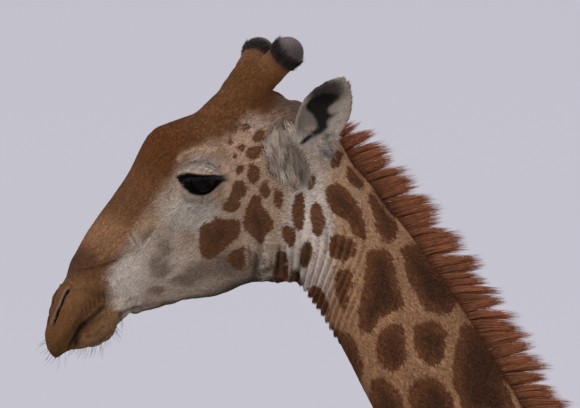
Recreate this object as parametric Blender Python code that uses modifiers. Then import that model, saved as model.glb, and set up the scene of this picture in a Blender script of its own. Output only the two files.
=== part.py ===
"""A standing bull giraffe at life size, still, with one named object for each part of the body.

Metres, +Z up. The animal faces -Y, so its left side is +X, and its head is turned a little to the left.
The flesh is modelled whole from lofts and rounded masses, then parted with thin cuts. The origin is on
the ground, below the middle of the whole animal.
"""
import math

import bmesh
import bpy
import numpy as np
from mathutils import Matrix, Vector

# Driving dimensions.
HEAD_COARSENESS = 0.97        # how readily the head is reduced, against 1 for the body
MIDDLE_SHIFT = 0.626          # moves the body along Y, so that the origin is below its middle
GAP = 0.0003                  # what parts keep between them
FLESH_VOXEL = 0.010           # grid on which the masses are blended into one
FLESH_TRIANGLES = 4600        # what the whole flesh is reduced to
SKULL_PLACE = Vector((0.0, -1.75, 4.31))   # the place in the skull that the head is measured from
HEAD_PITCH = math.radians(35.0)     # the face's axis below the horizontal
HEAD_YAW = math.radians(18.0)       # the head's turn to the animal's left
HEAD_ROLL = math.radians(3.5)       # the right side's rise
HOOF_TOP = 0.118
ELBOW_CUT = 1.74
KNEE_CUT = 1.02
HOCK_CUT = 1.20
FORE_X, HIND_X = 0.195, 0.195       # the legs' distance from the middle plane
FORE_STAGGER = {1: -0.60, -1: -0.49}    # Y of each foreleg, left (+1) and right (-1)
HIND_STAGGER = {1: 0.78, -1: 0.66}      # Y of each hind leg
EYE_PLACE = (0.218, 0.138, 0.110)       # along the face, up and out, in the head's own directions
EYE_RADIUS = 0.029
HORN_BASE, HORN_TIP = (0.030, 0.209, 0.012), (-0.095, 0.248, 0.089)
HORN_CUT = 0.50                         # where a horn's own object starts, as a share of its length
EAR_BASE = (-0.010, 0.060, 0.092)
EAR_TIPS = {1: (-0.155, 0.142, 0.160), -1: (-0.155, 0.040, 0.185)}   # the right ear is laid back

# Share of an ear's length, half width there, and how far round its cup goes, in degrees.
EAR_ROWS = [
    (0.00, 0.026, 160), (0.12, 0.036, 150), (0.26, 0.047, 135), (0.40, 0.054, 120), (0.54, 0.055, 105),
    (0.68, 0.049, 90), (0.81, 0.038, 80), (0.92, 0.024, 70), (1.00, 0.009, 60),
]

COLOURS = {
    "hide": (0.30, 0.17, 0.09),
    "horn_skin": (0.16, 0.09, 0.05),
    "ear_skin": (0.40, 0.35, 0.30),
    "eye": (0.01, 0.01, 0.01),
    "mane_hair": (0.20, 0.07, 0.03),
    "tail_hair": (0.03, 0.02, 0.02),
    "hoof": (0.10, 0.08, 0.07),
}


def clear_scene():
    for obj in list(bpy.data.objects):
        bpy.data.objects.remove(obj)


def material(name):
    """One Principled BSDF for each finish, made once."""
    made = bpy.data.materials.get(name)
    if made is None:
        made = bpy.data.materials.new(name)
        made.use_nodes = True
        shader = made.node_tree.nodes["Principled BSDF"]
        shader.inputs["Base Color"].default_value = (*COLOURS[name], 1.0)
        shader.inputs["Roughness"].default_value = 0.15 if name == "eye" else 0.8
    return made


def collection(name, shown=True):
    made = bpy.data.collections.new(name)
    bpy.context.scene.collection.children.link(made)
    made.hide_render = not shown
    return made


def new_object(name, mesh, group):
    obj = bpy.data.objects.new(name, mesh)
    group.objects.link(obj)
    return obj


def mesh_of(name, bm):
    bmesh.ops.recalc_face_normals(bm, faces=bm.faces)
    mesh = bpy.data.meshes.new(name)
    bm.to_mesh(mesh)
    bm.free()
    return mesh


def smooth_rows(rows, steps):
    """Stations filled in by a Catmull-Rom curve through every column, with this many rows to a span."""
    rows = np.array(rows, float)
    ends = np.vstack([2 * rows[0] - rows[1], rows, 2 * rows[-1] - rows[-2]])
    filled = []
    for i in range(len(rows) - 1):
        before, start, end, after = ends[i:i + 4]
        for step in range(steps):
            u = step / steps
            filled.append(
                0.5 * (2 * start + (end - before) * u + (2 * before - 5 * start + 4 * end - after) * u**2
                       + (3 * start - before - 3 * end + after) * u**3)
            )
    filled.append(rows[-1])
    return np.array(filled)


def superellipse(turn, power):
    """A point of the unit superellipse, at a turn from its top, as (across, up)."""
    across, up = math.sin(turn), math.cos(turn)
    return (
        math.copysign(abs(across) ** (2 / power), across),
        math.copysign(abs(up) ** (2 / power), up),
    )


def loft(rings):
    """A closed bmesh through rings of points, all with the same count, with a fan at each end."""
    bm = bmesh.new()
    loops = [[bm.verts.new(point) for point in ring] for ring in rings]
    count = len(loops[0])
    for near, far in zip(loops, loops[1:]):
        for i in range(count):
            j = (i + 1) % count
            bm.faces.new((near[i], near[j], far[j], far[i]))
    for loop in (loops[0], loops[-1]):
        middle = bm.verts.new(sum((v.co for v in loop), Vector()) / count)
        for i in range(count):
            bm.faces.new((loop[i], loop[(i + 1) % count], middle))
    return bm


def in_body(x, y, z):
    """A place given along the body, moved so that the origin is below the animal's middle."""
    return Vector((x, y + MIDDLE_SHIFT, z))


def head_matrix():
    """From the head's own directions, which are along the face, up from it and out to its left."""
    along = Vector((0, -math.cos(HEAD_PITCH), -math.sin(HEAD_PITCH)))
    up = Vector((0, -math.sin(HEAD_PITCH), math.cos(HEAD_PITCH)))
    axes = Matrix((along, up, Vector((1, 0, 0)))).transposed()
    turned = Matrix.Rotation(HEAD_YAW, 3, "Z") @ axes @ Matrix.Rotation(HEAD_ROLL, 3, "X")
    return Matrix.Translation(in_body(*SKULL_PLACE)) @ turned.to_4x4()


# Masses of the flesh. Each gives a closed bmesh.

def trunk():
    """Stations from breast to buttocks: Y, height of back and belly, half width, height of the widest."""
    stations = [
        (-0.92, 2.52, 2.30, 0.06, 2.40),
        (-0.88, 2.66, 2.18, 0.15, 2.40),
        (-0.76, 2.86, 2.01, 0.24, 2.40),
        (-0.58, 2.99, 1.88, 0.305, 2.42),
        (-0.36, 3.065, 1.82, 0.345, 2.40),
        (-0.14, 3.06, 1.82, 0.385, 2.36),
        (0.10, 2.95, 1.85, 0.415, 2.33),
        (0.34, 2.82, 1.91, 0.410, 2.33),
        (0.56, 2.73, 1.98, 0.370, 2.33),
        (0.74, 2.64, 2.03, 0.325, 2.32),
        (0.88, 2.52, 2.07, 0.245, 2.28),
        (0.96, 2.38, 2.13, 0.130, 2.25),
    ]
    rings = []
    for y, back, belly, width, middle in smooth_rows(stations, 3):
        ring = []
        for i in range(32):
            across, up = superellipse(math.tau * i / 32, 2.15)
            height = (back - middle) if up > 0 else (middle - belly)
            # The back is narrower than the barrel of the ribs.
            taper = 1 - 0.22 * max(up, 0) ** 2
            ring.append(in_body(width * across * taper, y, middle + height * up))
        rings.append(ring)
    return loft(rings)


def neck():
    """Stations from the skull to inside the breast: nape Y and Z, throat Y and Z, and half width."""
    stations = [
        (-1.800, 4.455, -1.930, 4.380, 0.060),
        (-1.745, 4.468, -1.890, 4.310, 0.086),
        (-1.665, 4.372, -1.815, 4.185, 0.095),
        (-1.560, 4.250, -1.752, 4.085, 0.101),
        (-1.413, 4.048, -1.674, 3.960, 0.108),
        (-1.262, 3.805, -1.565, 3.745, 0.120),
        (-1.085, 3.555, -1.445, 3.490, 0.135),
        (-0.895, 3.335, -1.325, 3.240, 0.158),
        (-0.670, 3.175, -1.200, 2.975, 0.190),
        (-0.430, 3.085, -1.070, 2.720, 0.225),
        (-0.220, 3.010, -0.940, 2.470, 0.250),
        (-0.100, 2.860, -0.780, 2.260, 0.235),
    ]
    rings = []
    for nape_y, nape_z, throat_y, throat_z, width in smooth_rows(stations, 4):
        nape, throat = in_body(0, nape_y, nape_z), in_body(0, throat_y, throat_z)
        middle, reach = (nape + throat) / 2, (nape - throat) / 2
        ring = []
        for i in range(28):
            across, up = superellipse(math.tau * i / 28, 2.1)
            # The nape narrows to a crest, and the throat stays round.
            taper = 1 - 0.30 * max(up, 0) ** 2
            ring.append(middle + reach * up + Vector((width * across * taper, 0, 0)))
        rings.append(ring)
    return loft(rings)


def skull():
    """Stations along the face: place, top and bottom, half width, height of the widest, upper power."""
    stations = [
        (-0.106, 0.090, -0.050, 0.045, 0.030, 2.0),
        (-0.092, 0.122, -0.090, 0.074, 0.030, 2.0),
        (-0.050, 0.158, -0.140, 0.092, 0.035, 2.0),
        (0.000, 0.188, -0.176, 0.100, 0.040, 2.0),
        (0.050, 0.212, -0.198, 0.103, 0.050, 2.0),
        (0.100, 0.236, -0.196, 0.106, 0.070, 2.0),
        (0.150, 0.250, -0.176, 0.110, 0.095, 1.9),
        (0.190, 0.262, -0.146, 0.112, 0.105, 1.85),
        (0.215, 0.266, -0.130, 0.110, 0.105, 1.8),
        (0.245, 0.258, -0.122, 0.103, 0.098, 1.85),
        (0.275, 0.239, -0.115, 0.095, 0.090, 1.95),
        (0.310, 0.221, -0.104, 0.086, 0.082, 2.1),
        (0.350, 0.205, -0.081, 0.078, 0.078, 2.2),
        (0.400, 0.189, -0.060, 0.071, 0.074, 2.2),
        (0.450, 0.172, -0.040, 0.067, 0.072, 2.2),
        (0.500, 0.147, 0.006, 0.067, 0.075, 2.2),
        (0.545, 0.128, 0.026, 0.068, 0.070, 2.2),
        (0.590, 0.106, 0.014, 0.067, 0.058, 2.2),
        (0.620, 0.086, -0.004, 0.062, 0.042, 2.2),
        (0.648, 0.064, -0.014, 0.050, 0.030, 2.1),
        (0.666, 0.046, -0.012, 0.032, 0.020, 2.0),
        (0.675, 0.026, 0.004, 0.012, 0.015, 2.0),
    ]
    rings = []
    for along, top, bottom, width, middle, power in smooth_rows(stations, 2):
        ring = []
        for i in range(32):
            across, up = superellipse(math.tau * i / 32, power if i < 8 or i > 24 else 2.1)
            height = (top - middle) if up > 0 else (middle - bottom)
            # The jaw is narrower than the face above it.
            taper = 1 - 0.28 * max(-up, 0) ** 1.5
            ring.append(Vector((along, middle + height * up, width * across * taper)))
        rings.append(ring)
    bm = loft(rings)
    bm.transform(head_matrix())
    return bm


def chin():
    """The lower lip with its pad: place along the face, top and bottom, half width."""
    stations = [
        (0.440, 0.020, -0.022, 0.030),
        (0.475, 0.034, -0.024, 0.050),
        (0.505, 0.034, -0.028, 0.055),
        (0.535, 0.026, -0.041, 0.056),
        (0.568, 0.016, -0.042, 0.054),
        (0.600, 0.008, -0.032, 0.047),
        (0.624, -0.002, -0.018, 0.030),
        (0.630, -0.006, -0.012, 0.010),
    ]
    rings = []
    for along, top, bottom, width in smooth_rows(stations, 3):
        middle, reach = (top + bottom) / 2, (top - bottom) / 2
        points = [superellipse(math.tau * i / 20, 2.2) for i in range(20)]
        rings.append([Vector((along, middle + reach * up, width * across)) for across, up in points])
    bm = loft(rings)
    bm.transform(head_matrix())
    return bm


def mass(place, radii, turn=0.0):
    """An ellipsoid of the head, turned about the axis across it, to be blended with the rest."""
    bm = bmesh.new()
    bmesh.ops.create_uvsphere(bm, u_segments=20, v_segments=12, radius=1)
    shape = Matrix.Rotation(turn, 4, "Z") @ Matrix.Diagonal((*radii, 1))
    bm.transform(head_matrix() @ Matrix.Translation(place) @ shape)
    return bm


def face_masses():
    """Bony orbits, brows, cheek muscles, the ridges of the face and nostril pads, on both sides."""
    made = [mass((0.064, 0.203, 0.0), (0.078, 0.046, 0.052)), mass((-0.020, 0.163, 0.0), (0.044, 0.034, 0.034))]
    for side in (1, -1):
        made += [
            mass((0.212, 0.128, side * 0.090), (0.062, 0.052, 0.041), math.radians(18)),
            mass((0.186, 0.172, side * 0.082), (0.064, 0.026, 0.040), math.radians(16)),
            mass((0.130, -0.020, side * 0.068), (0.092, 0.096, 0.034)),
            mass((0.300, 0.110, side * 0.056), (0.110, 0.022, 0.036), math.radians(-8)),
            mass((0.574, 0.080, side * 0.038), (0.048, 0.028, 0.028), math.radians(-22)),
        ]
    return made


def leg(side, place_x, place_y, stations):
    """Stations down a leg: Z, offset along Y, half depth, half width, offset outwards."""
    rings = []
    for z, offset, depth, width, outward in smooth_rows(stations, 3):
        points = [superellipse(math.tau * i / 20, 2.2) for i in range(20)]
        rings.append([
            in_body(side * (place_x + outward) + width * across, place_y + offset + depth * up, z)
            for across, up in points
        ])
    return loft(rings)


def forelegs():
    stations = [
        (2.62, 0.10, 0.16, 0.060, 0.020),
        (2.35, 0.05, 0.20, 0.090, 0.040),
        (2.08, 0.02, 0.185, 0.100, 0.030),
        (1.84, 0.02, 0.140, 0.090, 0.012),
        (1.62, 0.01, 0.106, 0.078, 0.005),
        (1.36, 0.00, 0.080, 0.063, 0.0),
        (1.15, -0.005, 0.067, 0.056, 0.0),
        (1.04, -0.012, 0.076, 0.066, 0.0),
        (0.94, -0.008, 0.070, 0.062, 0.0),
        (0.82, 0.00, 0.050, 0.044, 0.0),
        (0.56, 0.00, 0.043, 0.037, 0.0),
        (0.35, 0.00, 0.046, 0.040, 0.0),
        (0.265, 0.006, 0.062, 0.053, 0.0),
        (0.195, -0.008, 0.054, 0.052, 0.0),
        (0.135, -0.030, 0.068, 0.064, 0.0),
        (0.100, -0.036, 0.070, 0.066, 0.0),
    ]
    return [leg(side, FORE_X, FORE_STAGGER[side], stations) for side in (1, -1)]


def hind_legs():
    stations = [
        (2.42, -0.04, 0.110, 0.050, -0.03),
        (2.32, -0.03, 0.190, 0.095, -0.01),
        (2.12, -0.05, 0.225, 0.115, 0.015),
        (1.90, -0.07, 0.190, 0.102, 0.02),
        (1.70, -0.02, 0.145, 0.082, 0.01),
        (1.50, 0.045, 0.102, 0.063, 0.0),
        (1.33, 0.105, 0.086, 0.052, 0.0),
        (1.22, 0.128, 0.090, 0.058, 0.0),
        (1.10, 0.122, 0.072, 0.053, 0.0),
        (0.96, 0.108, 0.055, 0.043, 0.0),
        (0.62, 0.072, 0.046, 0.038, 0.0),
        (0.36, 0.045, 0.048, 0.040, 0.0),
        (0.270, 0.040, 0.062, 0.053, 0.0),
        (0.200, 0.018, 0.053, 0.051, 0.0),
        (0.135, -0.008, 0.067, 0.063, 0.0),
        (0.100, -0.014, 0.069, 0.065, 0.0),
    ]
    return [leg(side, HIND_X, HIND_STAGGER[side], stations) for side in (1, -1)]


# Blending and parting the flesh.

def apply_modifiers(obj):
    graph = bpy.context.evaluated_depsgraph_get()
    mesh = bpy.data.meshes.new_from_object(obj.evaluated_get(graph), depsgraph=graph)
    obj.modifiers.clear()
    obj.data = mesh


def blend(masses, group):
    """Makes one skin of all the masses, smooths it and reduces it."""
    whole = bmesh.new()
    for bm in masses:
        part = mesh_of("mass", bm)
        whole.from_mesh(part)
        bpy.data.meshes.remove(part)
    flesh = new_object("flesh", mesh_of("flesh", whole), group)
    remesh = flesh.modifiers.new("Blend", "REMESH")
    remesh.mode = "VOXEL"
    remesh.voxel_size = FLESH_VOXEL
    smooth = flesh.modifiers.new("Smooth", "SMOOTH")
    smooth.factor = 0.5
    smooth.iterations = 6
    apply_modifiers(flesh)
    flesh.data.calc_loop_triangles()
    coarse = flesh.vertex_groups.new(name="coarse")
    face_middle = head_matrix() @ Vector((0.28, 0.06, 0))
    for v in flesh.data.vertices:
        nearness = min(1.0, max(0.0, (0.55 - (v.co - face_middle).length) / 0.15))
        coarse.add([v.index], 1 - (1 - HEAD_COARSENESS) * nearness, "REPLACE")
    reduce = flesh.modifiers.new("Reduce", "DECIMATE")
    reduce.vertex_group = "coarse"
    reduce.ratio = FLESH_TRIANGLES / len(flesh.data.loop_triangles)
    apply_modifiers(flesh)
    return flesh


def boolean(obj, other, operation):
    cut = obj.modifiers.new(operation.title(), "BOOLEAN")
    cut.operation = operation
    cut.object = other
    apply_modifiers(obj)


def half(obj, name, place, normal, group):
    """A copy of obj on the side of the plane that the normal points to, closed at half the gap from it."""
    bm = bmesh.new()
    bm.from_mesh(obj.data)
    bmesh.ops.bisect_plane(
        bm,
        geom=bm.verts[:] + bm.edges[:] + bm.faces[:],
        plane_co=place + normal * (GAP / 2),
        plane_no=normal,
        clear_inner=True,
    )
    rim = [edge for edge in bm.edges if edge.is_boundary]
    bmesh.ops.triangulate(bm, faces=bmesh.ops.holes_fill(bm, edges=rim)["faces"])
    return new_object(name, mesh_of(name, bm), group)


def parted(obj, names, place, normal, group):
    """Both halves of obj at a plane, the one that the normal points to first. obj is removed."""
    halves = [half(obj, name, place, normal * sign, group) for name, sign in zip(names, (1, -1))]
    bpy.data.objects.remove(obj)
    return halves


def wedge(name, low, high, slope, group):
    """A box whose top rises outwards by slope, used to part a leg from the trunk."""
    bm = bmesh.new()
    bmesh.ops.create_cube(bm, size=1)
    middle, size = (low + high) / 2, high - low
    for v in bm.verts:
        v.co = Vector(middle[k] + v.co[k] * size[k] for k in range(3))
        if v.co.z > middle.z:
            v.co.z += slope * (abs(v.co.x) - abs(middle.x))
    return new_object(name, mesh_of(name, bm), group)


def grown(obj, name, by, group):
    """A copy of obj, larger by a little all over."""
    copy = new_object(name, obj.data.copy(), group)
    push = copy.modifiers.new("Grow", "DISPLACE")
    push.mid_level = 0
    push.strength = by
    apply_modifiers(copy)
    return copy


def part_legs(trunk_obj, group, cutters):
    """Cuts the four legs from the trunk by wedges, then each leg at its knee or hock and above its hoof."""
    made = []
    for name, stagger, reach, top, slope, joint in (
        ("fore", FORE_STAGGER, (-0.30, 0.30), 1.80, 0.30, KNEE_CUT),
        ("hind", HIND_STAGGER, (-0.27, 0.42), 2.02, 0.50, HOCK_CUT),
    ):
        for side, word in ((1, "left"), (-1, "right")):
            y = stagger[side]
            ends = sorted((side * 0.012, side * 0.60))
            low = in_body(ends[0], y + reach[0], -0.2)
            high = in_body(ends[1], y + reach[1], top)
            cutter = wedge(f"cut_{name}_{word}", low, high, slope, cutters)
            limb = new_object(f"{name}_{word}", trunk_obj.data.copy(), group)
            boolean(limb, cutter, "INTERSECT")
            boolean(trunk_obj, grown(cutter, f"cut_{name}_{word}_wide", GAP, cutters), "DIFFERENCE")
            level = Vector((0, 0, joint))
            upper, lower = parted(
                limb, (f"leg_{name}_{word}_upper", f"leg_{name}_{word}_lower"), level, Vector((0, 0, 1)), group
            )
            shank, foot = parted(
                lower, (f"leg_{name}_{word}_lower", "foot"), Vector((0, 0, HOOF_TOP)), Vector((0, 0, 1)), group
            )
            bpy.data.objects.remove(foot)
            shank.name = f"leg_{name}_{word}_lower"
            made += [upper, shank]
    return made


# Horns, ears, eyes, mane, tail and hooves.

def horn_axis(side):
    """A horn's base, its direction and its length, in the head's own directions."""
    base = Vector((HORN_BASE[0], HORN_BASE[1], side * HORN_BASE[2]))
    reach = Vector((HORN_TIP[0], HORN_TIP[1], side * HORN_TIP[2])) - base
    return base, reach.normalized(), reach.length


def horn(side, stations, count):
    """A horn, or the sleeve that cuts it off: share of the length and radius at each station."""
    base, axis, length = horn_axis(side)
    out = axis.cross(Vector((0, 1, 0))).normalized()
    up = out.cross(axis)
    rings = []
    for share, radius in stations:
        middle = base + axis * (share * length)
        turns = [math.tau * i / count for i in range(count)]
        rings.append([middle + (out * math.sin(a) + up * math.cos(a)) * radius for a in turns])
    bm = loft(rings)
    bm.transform(head_matrix())
    return bm


def horns():
    """The skin-covered horns: stout shafts that spread at their roots and end in rounded knobs."""
    stations = [
        (-0.30, 0.040), (-0.08, 0.0430), (0.12, 0.0425), (0.30, 0.0405), (0.45, 0.0370), (0.60, 0.0340),
        (0.75, 0.0320), (0.88, 0.0328), (1.00, 0.0348), (1.09, 0.0325), (1.155, 0.0260), (1.20, 0.0170), (1.222, 0.0080),
    ]
    return [horn(side, smooth_rows(stations, 2), 16) for side in (1, -1)]


def part_horns(flesh, group, cutters):
    """Cuts both horns from the flesh across their shafts."""
    made = []
    for side, word in ((1, "left"), (-1, "right")):
        sleeve = horn(side, [(HORN_CUT, 0.046), (0.7, 0.056), (1.5, 0.062)], 24)
        cutter = new_object(f"cut_horn_{word}", mesh_of("sleeve", sleeve), cutters)
        piece = new_object(f"ossicone_{word}", flesh.data.copy(), group)
        boolean(piece, cutter, "INTERSECT")
        boolean(flesh, grown(cutter, f"cut_horn_{word}_wide", GAP, cutters), "DIFFERENCE")
        made.append(piece)
    return made


def ears(group, flesh_wide):
    """Pointed cups that open outwards. Each is a leaf-shaped sheet, bent across its length and thickened."""
    made = []
    across_steps, thickness = 6, 0.007
    for side, word in ((1, "left"), (-1, "right")):
        base = Vector((EAR_BASE[0], EAR_BASE[1], side * EAR_BASE[2]))
        tip = Vector((EAR_TIPS[side][0], EAR_TIPS[side][1], side * EAR_TIPS[side][2]))
        axis = (tip - base).normalized()
        facing = Vector((0.25, 0.05, side * 0.96))
        facing = (facing - axis * facing.dot(axis)).normalized()
        broad = axis.cross(facing).normalized()
        length = (tip - base).length
        bm = bmesh.new()
        rows = []
        for share, width, bend in smooth_rows(EAR_ROWS, 1):
            turns = [math.radians(bend) * (j / across_steps - 0.5) for j in range(across_steps + 1)]
            radius = width / math.sin(math.radians(bend) / 2)
            row = []
            for turn in turns:
                depth = radius * (math.cos(turn) - math.cos(math.radians(bend) / 2))
                sideways = broad * (radius * math.sin(turn))
                row.append(bm.verts.new(base + axis * (share * length) + sideways - facing * depth))
            rows.append(row)
        for near, far in zip(rows, rows[1:]):
            for j in range(across_steps):
                bm.faces.new((near[j], near[j + 1], far[j + 1], far[j]))
        bm.transform(head_matrix())
        ear = new_object(f"ear_{word}", mesh_of(f"ear_{word}", bm), group)
        wall = ear.modifiers.new("Thickness", "SOLIDIFY")
        wall.thickness = thickness
        wall.offset = 0
        apply_modifiers(ear)
        boolean(ear, flesh_wide, "DIFFERENCE")
        keep_largest(ear)
        made.append(ear)
    return made


def keep_largest(obj):
    """Drops the small pieces that a cut leaves behind."""
    bm = bmesh.new()
    bm.from_mesh(obj.data)
    left, pieces = set(bm.verts), []
    while left:
        piece, todo = set(), [next(iter(left))]
        while todo:
            vertex = todo.pop()
            if vertex in left:
                left.discard(vertex)
                piece.add(vertex)
                todo += [edge.other_vert(vertex) for edge in vertex.link_edges]
        pieces.append(piece)
    kept = max(pieces, key=len)
    bmesh.ops.delete(bm, geom=[v for v in bm.verts if v not in kept], context="VERTS")
    bm.to_mesh(obj.data)
    bm.free()


def eyes(group, flesh, cutters):
    """Eyeballs, and the sockets that they sit in, cut from the flesh."""
    made = []
    for side, word in ((1, "left"), (-1, "right")):
        place = head_matrix() @ Vector((EYE_PLACE[0], EYE_PLACE[1], side * EYE_PLACE[2]))
        for name, radius, home in (
            (f"eye_{word}", EYE_RADIUS, group), (f"socket_{word}", EYE_RADIUS + 2 * GAP, cutters),
        ):
            bm = bmesh.new()
            bmesh.ops.create_uvsphere(bm, u_segments=12, v_segments=8, radius=radius)
            bmesh.ops.translate(bm, verts=bm.verts, vec=place)
            obj = new_object(name, mesh_of(name, bm), home)
            if home is group:
                made.append(obj)
            else:
                boolean(flesh, obj, "DIFFERENCE")
    return made


def mane(group, flesh_wide):
    """The upright mane as a thin crest along the nape, out to the tips of its hair."""
    # Nape line Y and Z, how far the hair stands off it in Y and Z, and half thickness at its root.
    stations = [
        (-1.735, 4.452, 0.010, 0.010, 0.006),
        (-1.708, 4.420, 0.040, 0.028, 0.010),
        (-1.665, 4.372, 0.080, 0.038, 0.013),
        (-1.560, 4.250, 0.094, 0.024, 0.013),
        (-1.413, 4.048, 0.100, 0.010, 0.013),
        (-1.262, 3.805, 0.098, 0.012, 0.013),
        (-1.085, 3.555, 0.086, 0.028, 0.013),
        (-0.895, 3.335, 0.062, 0.048, 0.013),
        (-0.670, 3.175, 0.032, 0.060, 0.012),
        (-0.480, 3.100, 0.014, 0.045, 0.010),
        (-0.350, 3.060, 0.008, 0.018, 0.007),
    ]
    rings = []
    for y, z, stand_y, stand_z, thick in smooth_rows(stations, 2):
        root = in_body(0, y - 0.2 * stand_y, z - 0.35 * stand_z - 0.012)
        tip = in_body(0, y + stand_y, z + stand_z)
        middle = root.lerp(tip, 0.55)
        rings.append([
            root + Vector((thick, 0, 0)), middle + Vector((0.8 * thick, 0, 0)), tip + Vector((0.002, 0, 0)),
            tip - Vector((0.002, 0, 0)), middle - Vector((0.8 * thick, 0, 0)), root - Vector((thick, 0, 0)),
        ])
    crest = new_object("mane", mesh_of("mane", loft(rings)), group)
    boolean(crest, flesh_wide, "DIFFERENCE")
    keep_largest(crest)
    return crest


def tail(group, flesh_wide):
    """The tail's own flesh, and below it the brush of long hair."""
    stations = [
        (0.86, 2.45, 0.046), (0.93, 2.40, 0.040), (0.985, 2.30, 0.034), (1.005, 2.12, 0.027),
        (1.005, 1.90, 0.021), (1.000, 1.68, 0.017), (0.995, 1.52, 0.015),
    ]
    brush_stations = [
        (0.995, 1.5195, 0.015), (0.996, 1.44, 0.030), (1.000, 1.28, 0.044), (1.002, 1.10, 0.040),
        (1.000, 0.94, 0.024), (0.998, 0.86, 0.006),
    ]
    made = []
    for name, rows in (("tail", stations), ("tail_brush", brush_stations)):
        rings = []
        for y, z, radius in smooth_rows(rows, 2):
            turns = [math.tau * i / 10 for i in range(10)]
            rings.append([in_body(radius * math.sin(a), y + radius * math.cos(a), z) for a in turns])
        made.append(new_object(name, mesh_of(name, loft(rings)), group))
    boolean(made[0], flesh_wide, "DIFFERENCE")
    keep_largest(made[0])
    return made


def hooves(group):
    """Two claws to each foot, flat below, with a cleft between them."""
    made = []
    cleft = 0.004
    for name, place_x, stagger, offset in (
        ("fore", FORE_X, FORE_STAGGER, -0.034), ("hind", HIND_X, HIND_STAGGER, -0.012),
    ):
        for side, word in ((1, "left"), (-1, "right")):
            for claw, claw_word in ((1, "outer"), (-1, "inner")):
                rings = []
                # Height, forward reach and heel reach along Y, and width of one claw.
                for z, front, heel, width in (
                    (0.0, 0.150, 0.078, 0.074), (0.012, 0.151, 0.080, 0.076), (0.060, 0.118, 0.078, 0.072),
                    (HOOF_TOP - GAP, 0.074, 0.070, 0.062),
                ):
                    middle, reach = (heel - front) / 2, (heel + front) / 2
                    ring = []
                    for i in range(12):
                        across, along = superellipse(math.tau * i / 12, 2.6)
                        x = claw * side * (cleft / 2 + width * (across + 1) / 2)
                        ring.append(in_body(
                            side * place_x + x, stagger[side] + offset + middle + reach * along, z,
                        ))
                    rings.append(ring)
                node = f"hoof_{name}_{word}_{claw_word}"
                made.append(new_object(node, mesh_of(node, loft(rings)), group))
    return made


def finish(obj, finish_name):
    obj.data.materials.clear()
    obj.data.materials.append(material(finish_name))
    obj.data.shade_smooth()
    obj.data.set_sharp_from_angle(angle=math.radians(60))


def build():
    clear_scene()
    giraffe, cutters = collection("giraffe"), collection("cutters", shown=False)
    flesh = blend(
        [trunk(), neck(), skull(), chin(), *face_masses(), *horns(), *forelegs(), *hind_legs()], giraffe
    )
    flesh_wide = grown(flesh, "flesh_wide", 3 * GAP, cutters)
    for obj in ears(giraffe, flesh_wide):
        finish(obj, "ear_skin")
    finish(mane(giraffe, flesh_wide), "mane_hair")
    tail_obj, brush = tail(giraffe, flesh_wide)
    finish(tail_obj, "hide")
    finish(brush, "tail_hair")
    for obj in hooves(giraffe):
        finish(obj, "hoof")
    for obj in eyes(giraffe, flesh, cutters):
        finish(obj, "eye")
    for obj in part_horns(flesh, giraffe, cutters):
        finish(obj, "horn_skin")

    head, below = parted(
        flesh, ("head", "below"), in_body(0, -1.741, 4.05), Vector((0, -0.98, 0.20)).normalized(), giraffe
    )
    neck_upper, below = parted(
        below, ("neck_upper", "below_2"), in_body(0, -1.34, 3.70), Vector((0, -0.56, 0.83)), giraffe
    )
    neck_lower, trunk_obj = parted(
        below, ("neck_lower", "trunk"), in_body(0, -0.92, 2.98), Vector((0, -0.74, 0.67)), giraffe
    )
    limbs = part_legs(trunk_obj, giraffe, cutters)
    for obj in (head, neck_upper, neck_lower, trunk_obj, *limbs):
        finish(obj, "hide")


build()
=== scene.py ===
import math

import bpy
import numpy as np
from bpy.props import FloatProperty, IntProperty, PointerProperty, StringProperty
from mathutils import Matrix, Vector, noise
from mathutils.bvhtree import BVHTree


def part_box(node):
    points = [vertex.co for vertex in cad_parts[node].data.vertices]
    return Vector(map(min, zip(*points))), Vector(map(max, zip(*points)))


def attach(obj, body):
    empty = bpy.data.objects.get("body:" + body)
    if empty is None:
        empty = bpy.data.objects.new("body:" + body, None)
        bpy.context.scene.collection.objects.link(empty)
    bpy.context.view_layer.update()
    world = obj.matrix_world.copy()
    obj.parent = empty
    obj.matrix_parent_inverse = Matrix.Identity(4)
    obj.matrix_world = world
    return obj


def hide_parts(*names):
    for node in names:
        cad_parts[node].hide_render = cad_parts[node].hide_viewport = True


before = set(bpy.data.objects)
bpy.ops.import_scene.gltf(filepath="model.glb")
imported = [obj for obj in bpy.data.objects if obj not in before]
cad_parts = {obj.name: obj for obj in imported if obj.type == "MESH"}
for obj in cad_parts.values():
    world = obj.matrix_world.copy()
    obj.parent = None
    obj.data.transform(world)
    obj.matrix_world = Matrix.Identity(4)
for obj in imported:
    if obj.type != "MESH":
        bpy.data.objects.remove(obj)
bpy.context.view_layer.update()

bl_info = {
    "name": "Giraffe hide, coat and mane",
    "version": (1, 0, 0),
    "blender": (4, 5, 0),
    "location": "View3D > Sidebar > Giraffe",
    "description": "Makes the skin, coat, mane, eyes and hooves of a standing giraffe over its solids",
    "category": "Object",
}

# The flesh, which one skin stands for. The horns' outer parts have pieces of their own.
FLESH = sorted(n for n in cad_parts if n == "tail"
    or n.startswith(("head", "neck_", "trunk", "leg_", "ear_")))
HORNS = ("ossicone_left", "ossicone_right")
EYES = ("eye_left", "eye_right")
HOOVES = sorted(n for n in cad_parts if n.startswith("hoof_"))

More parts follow.
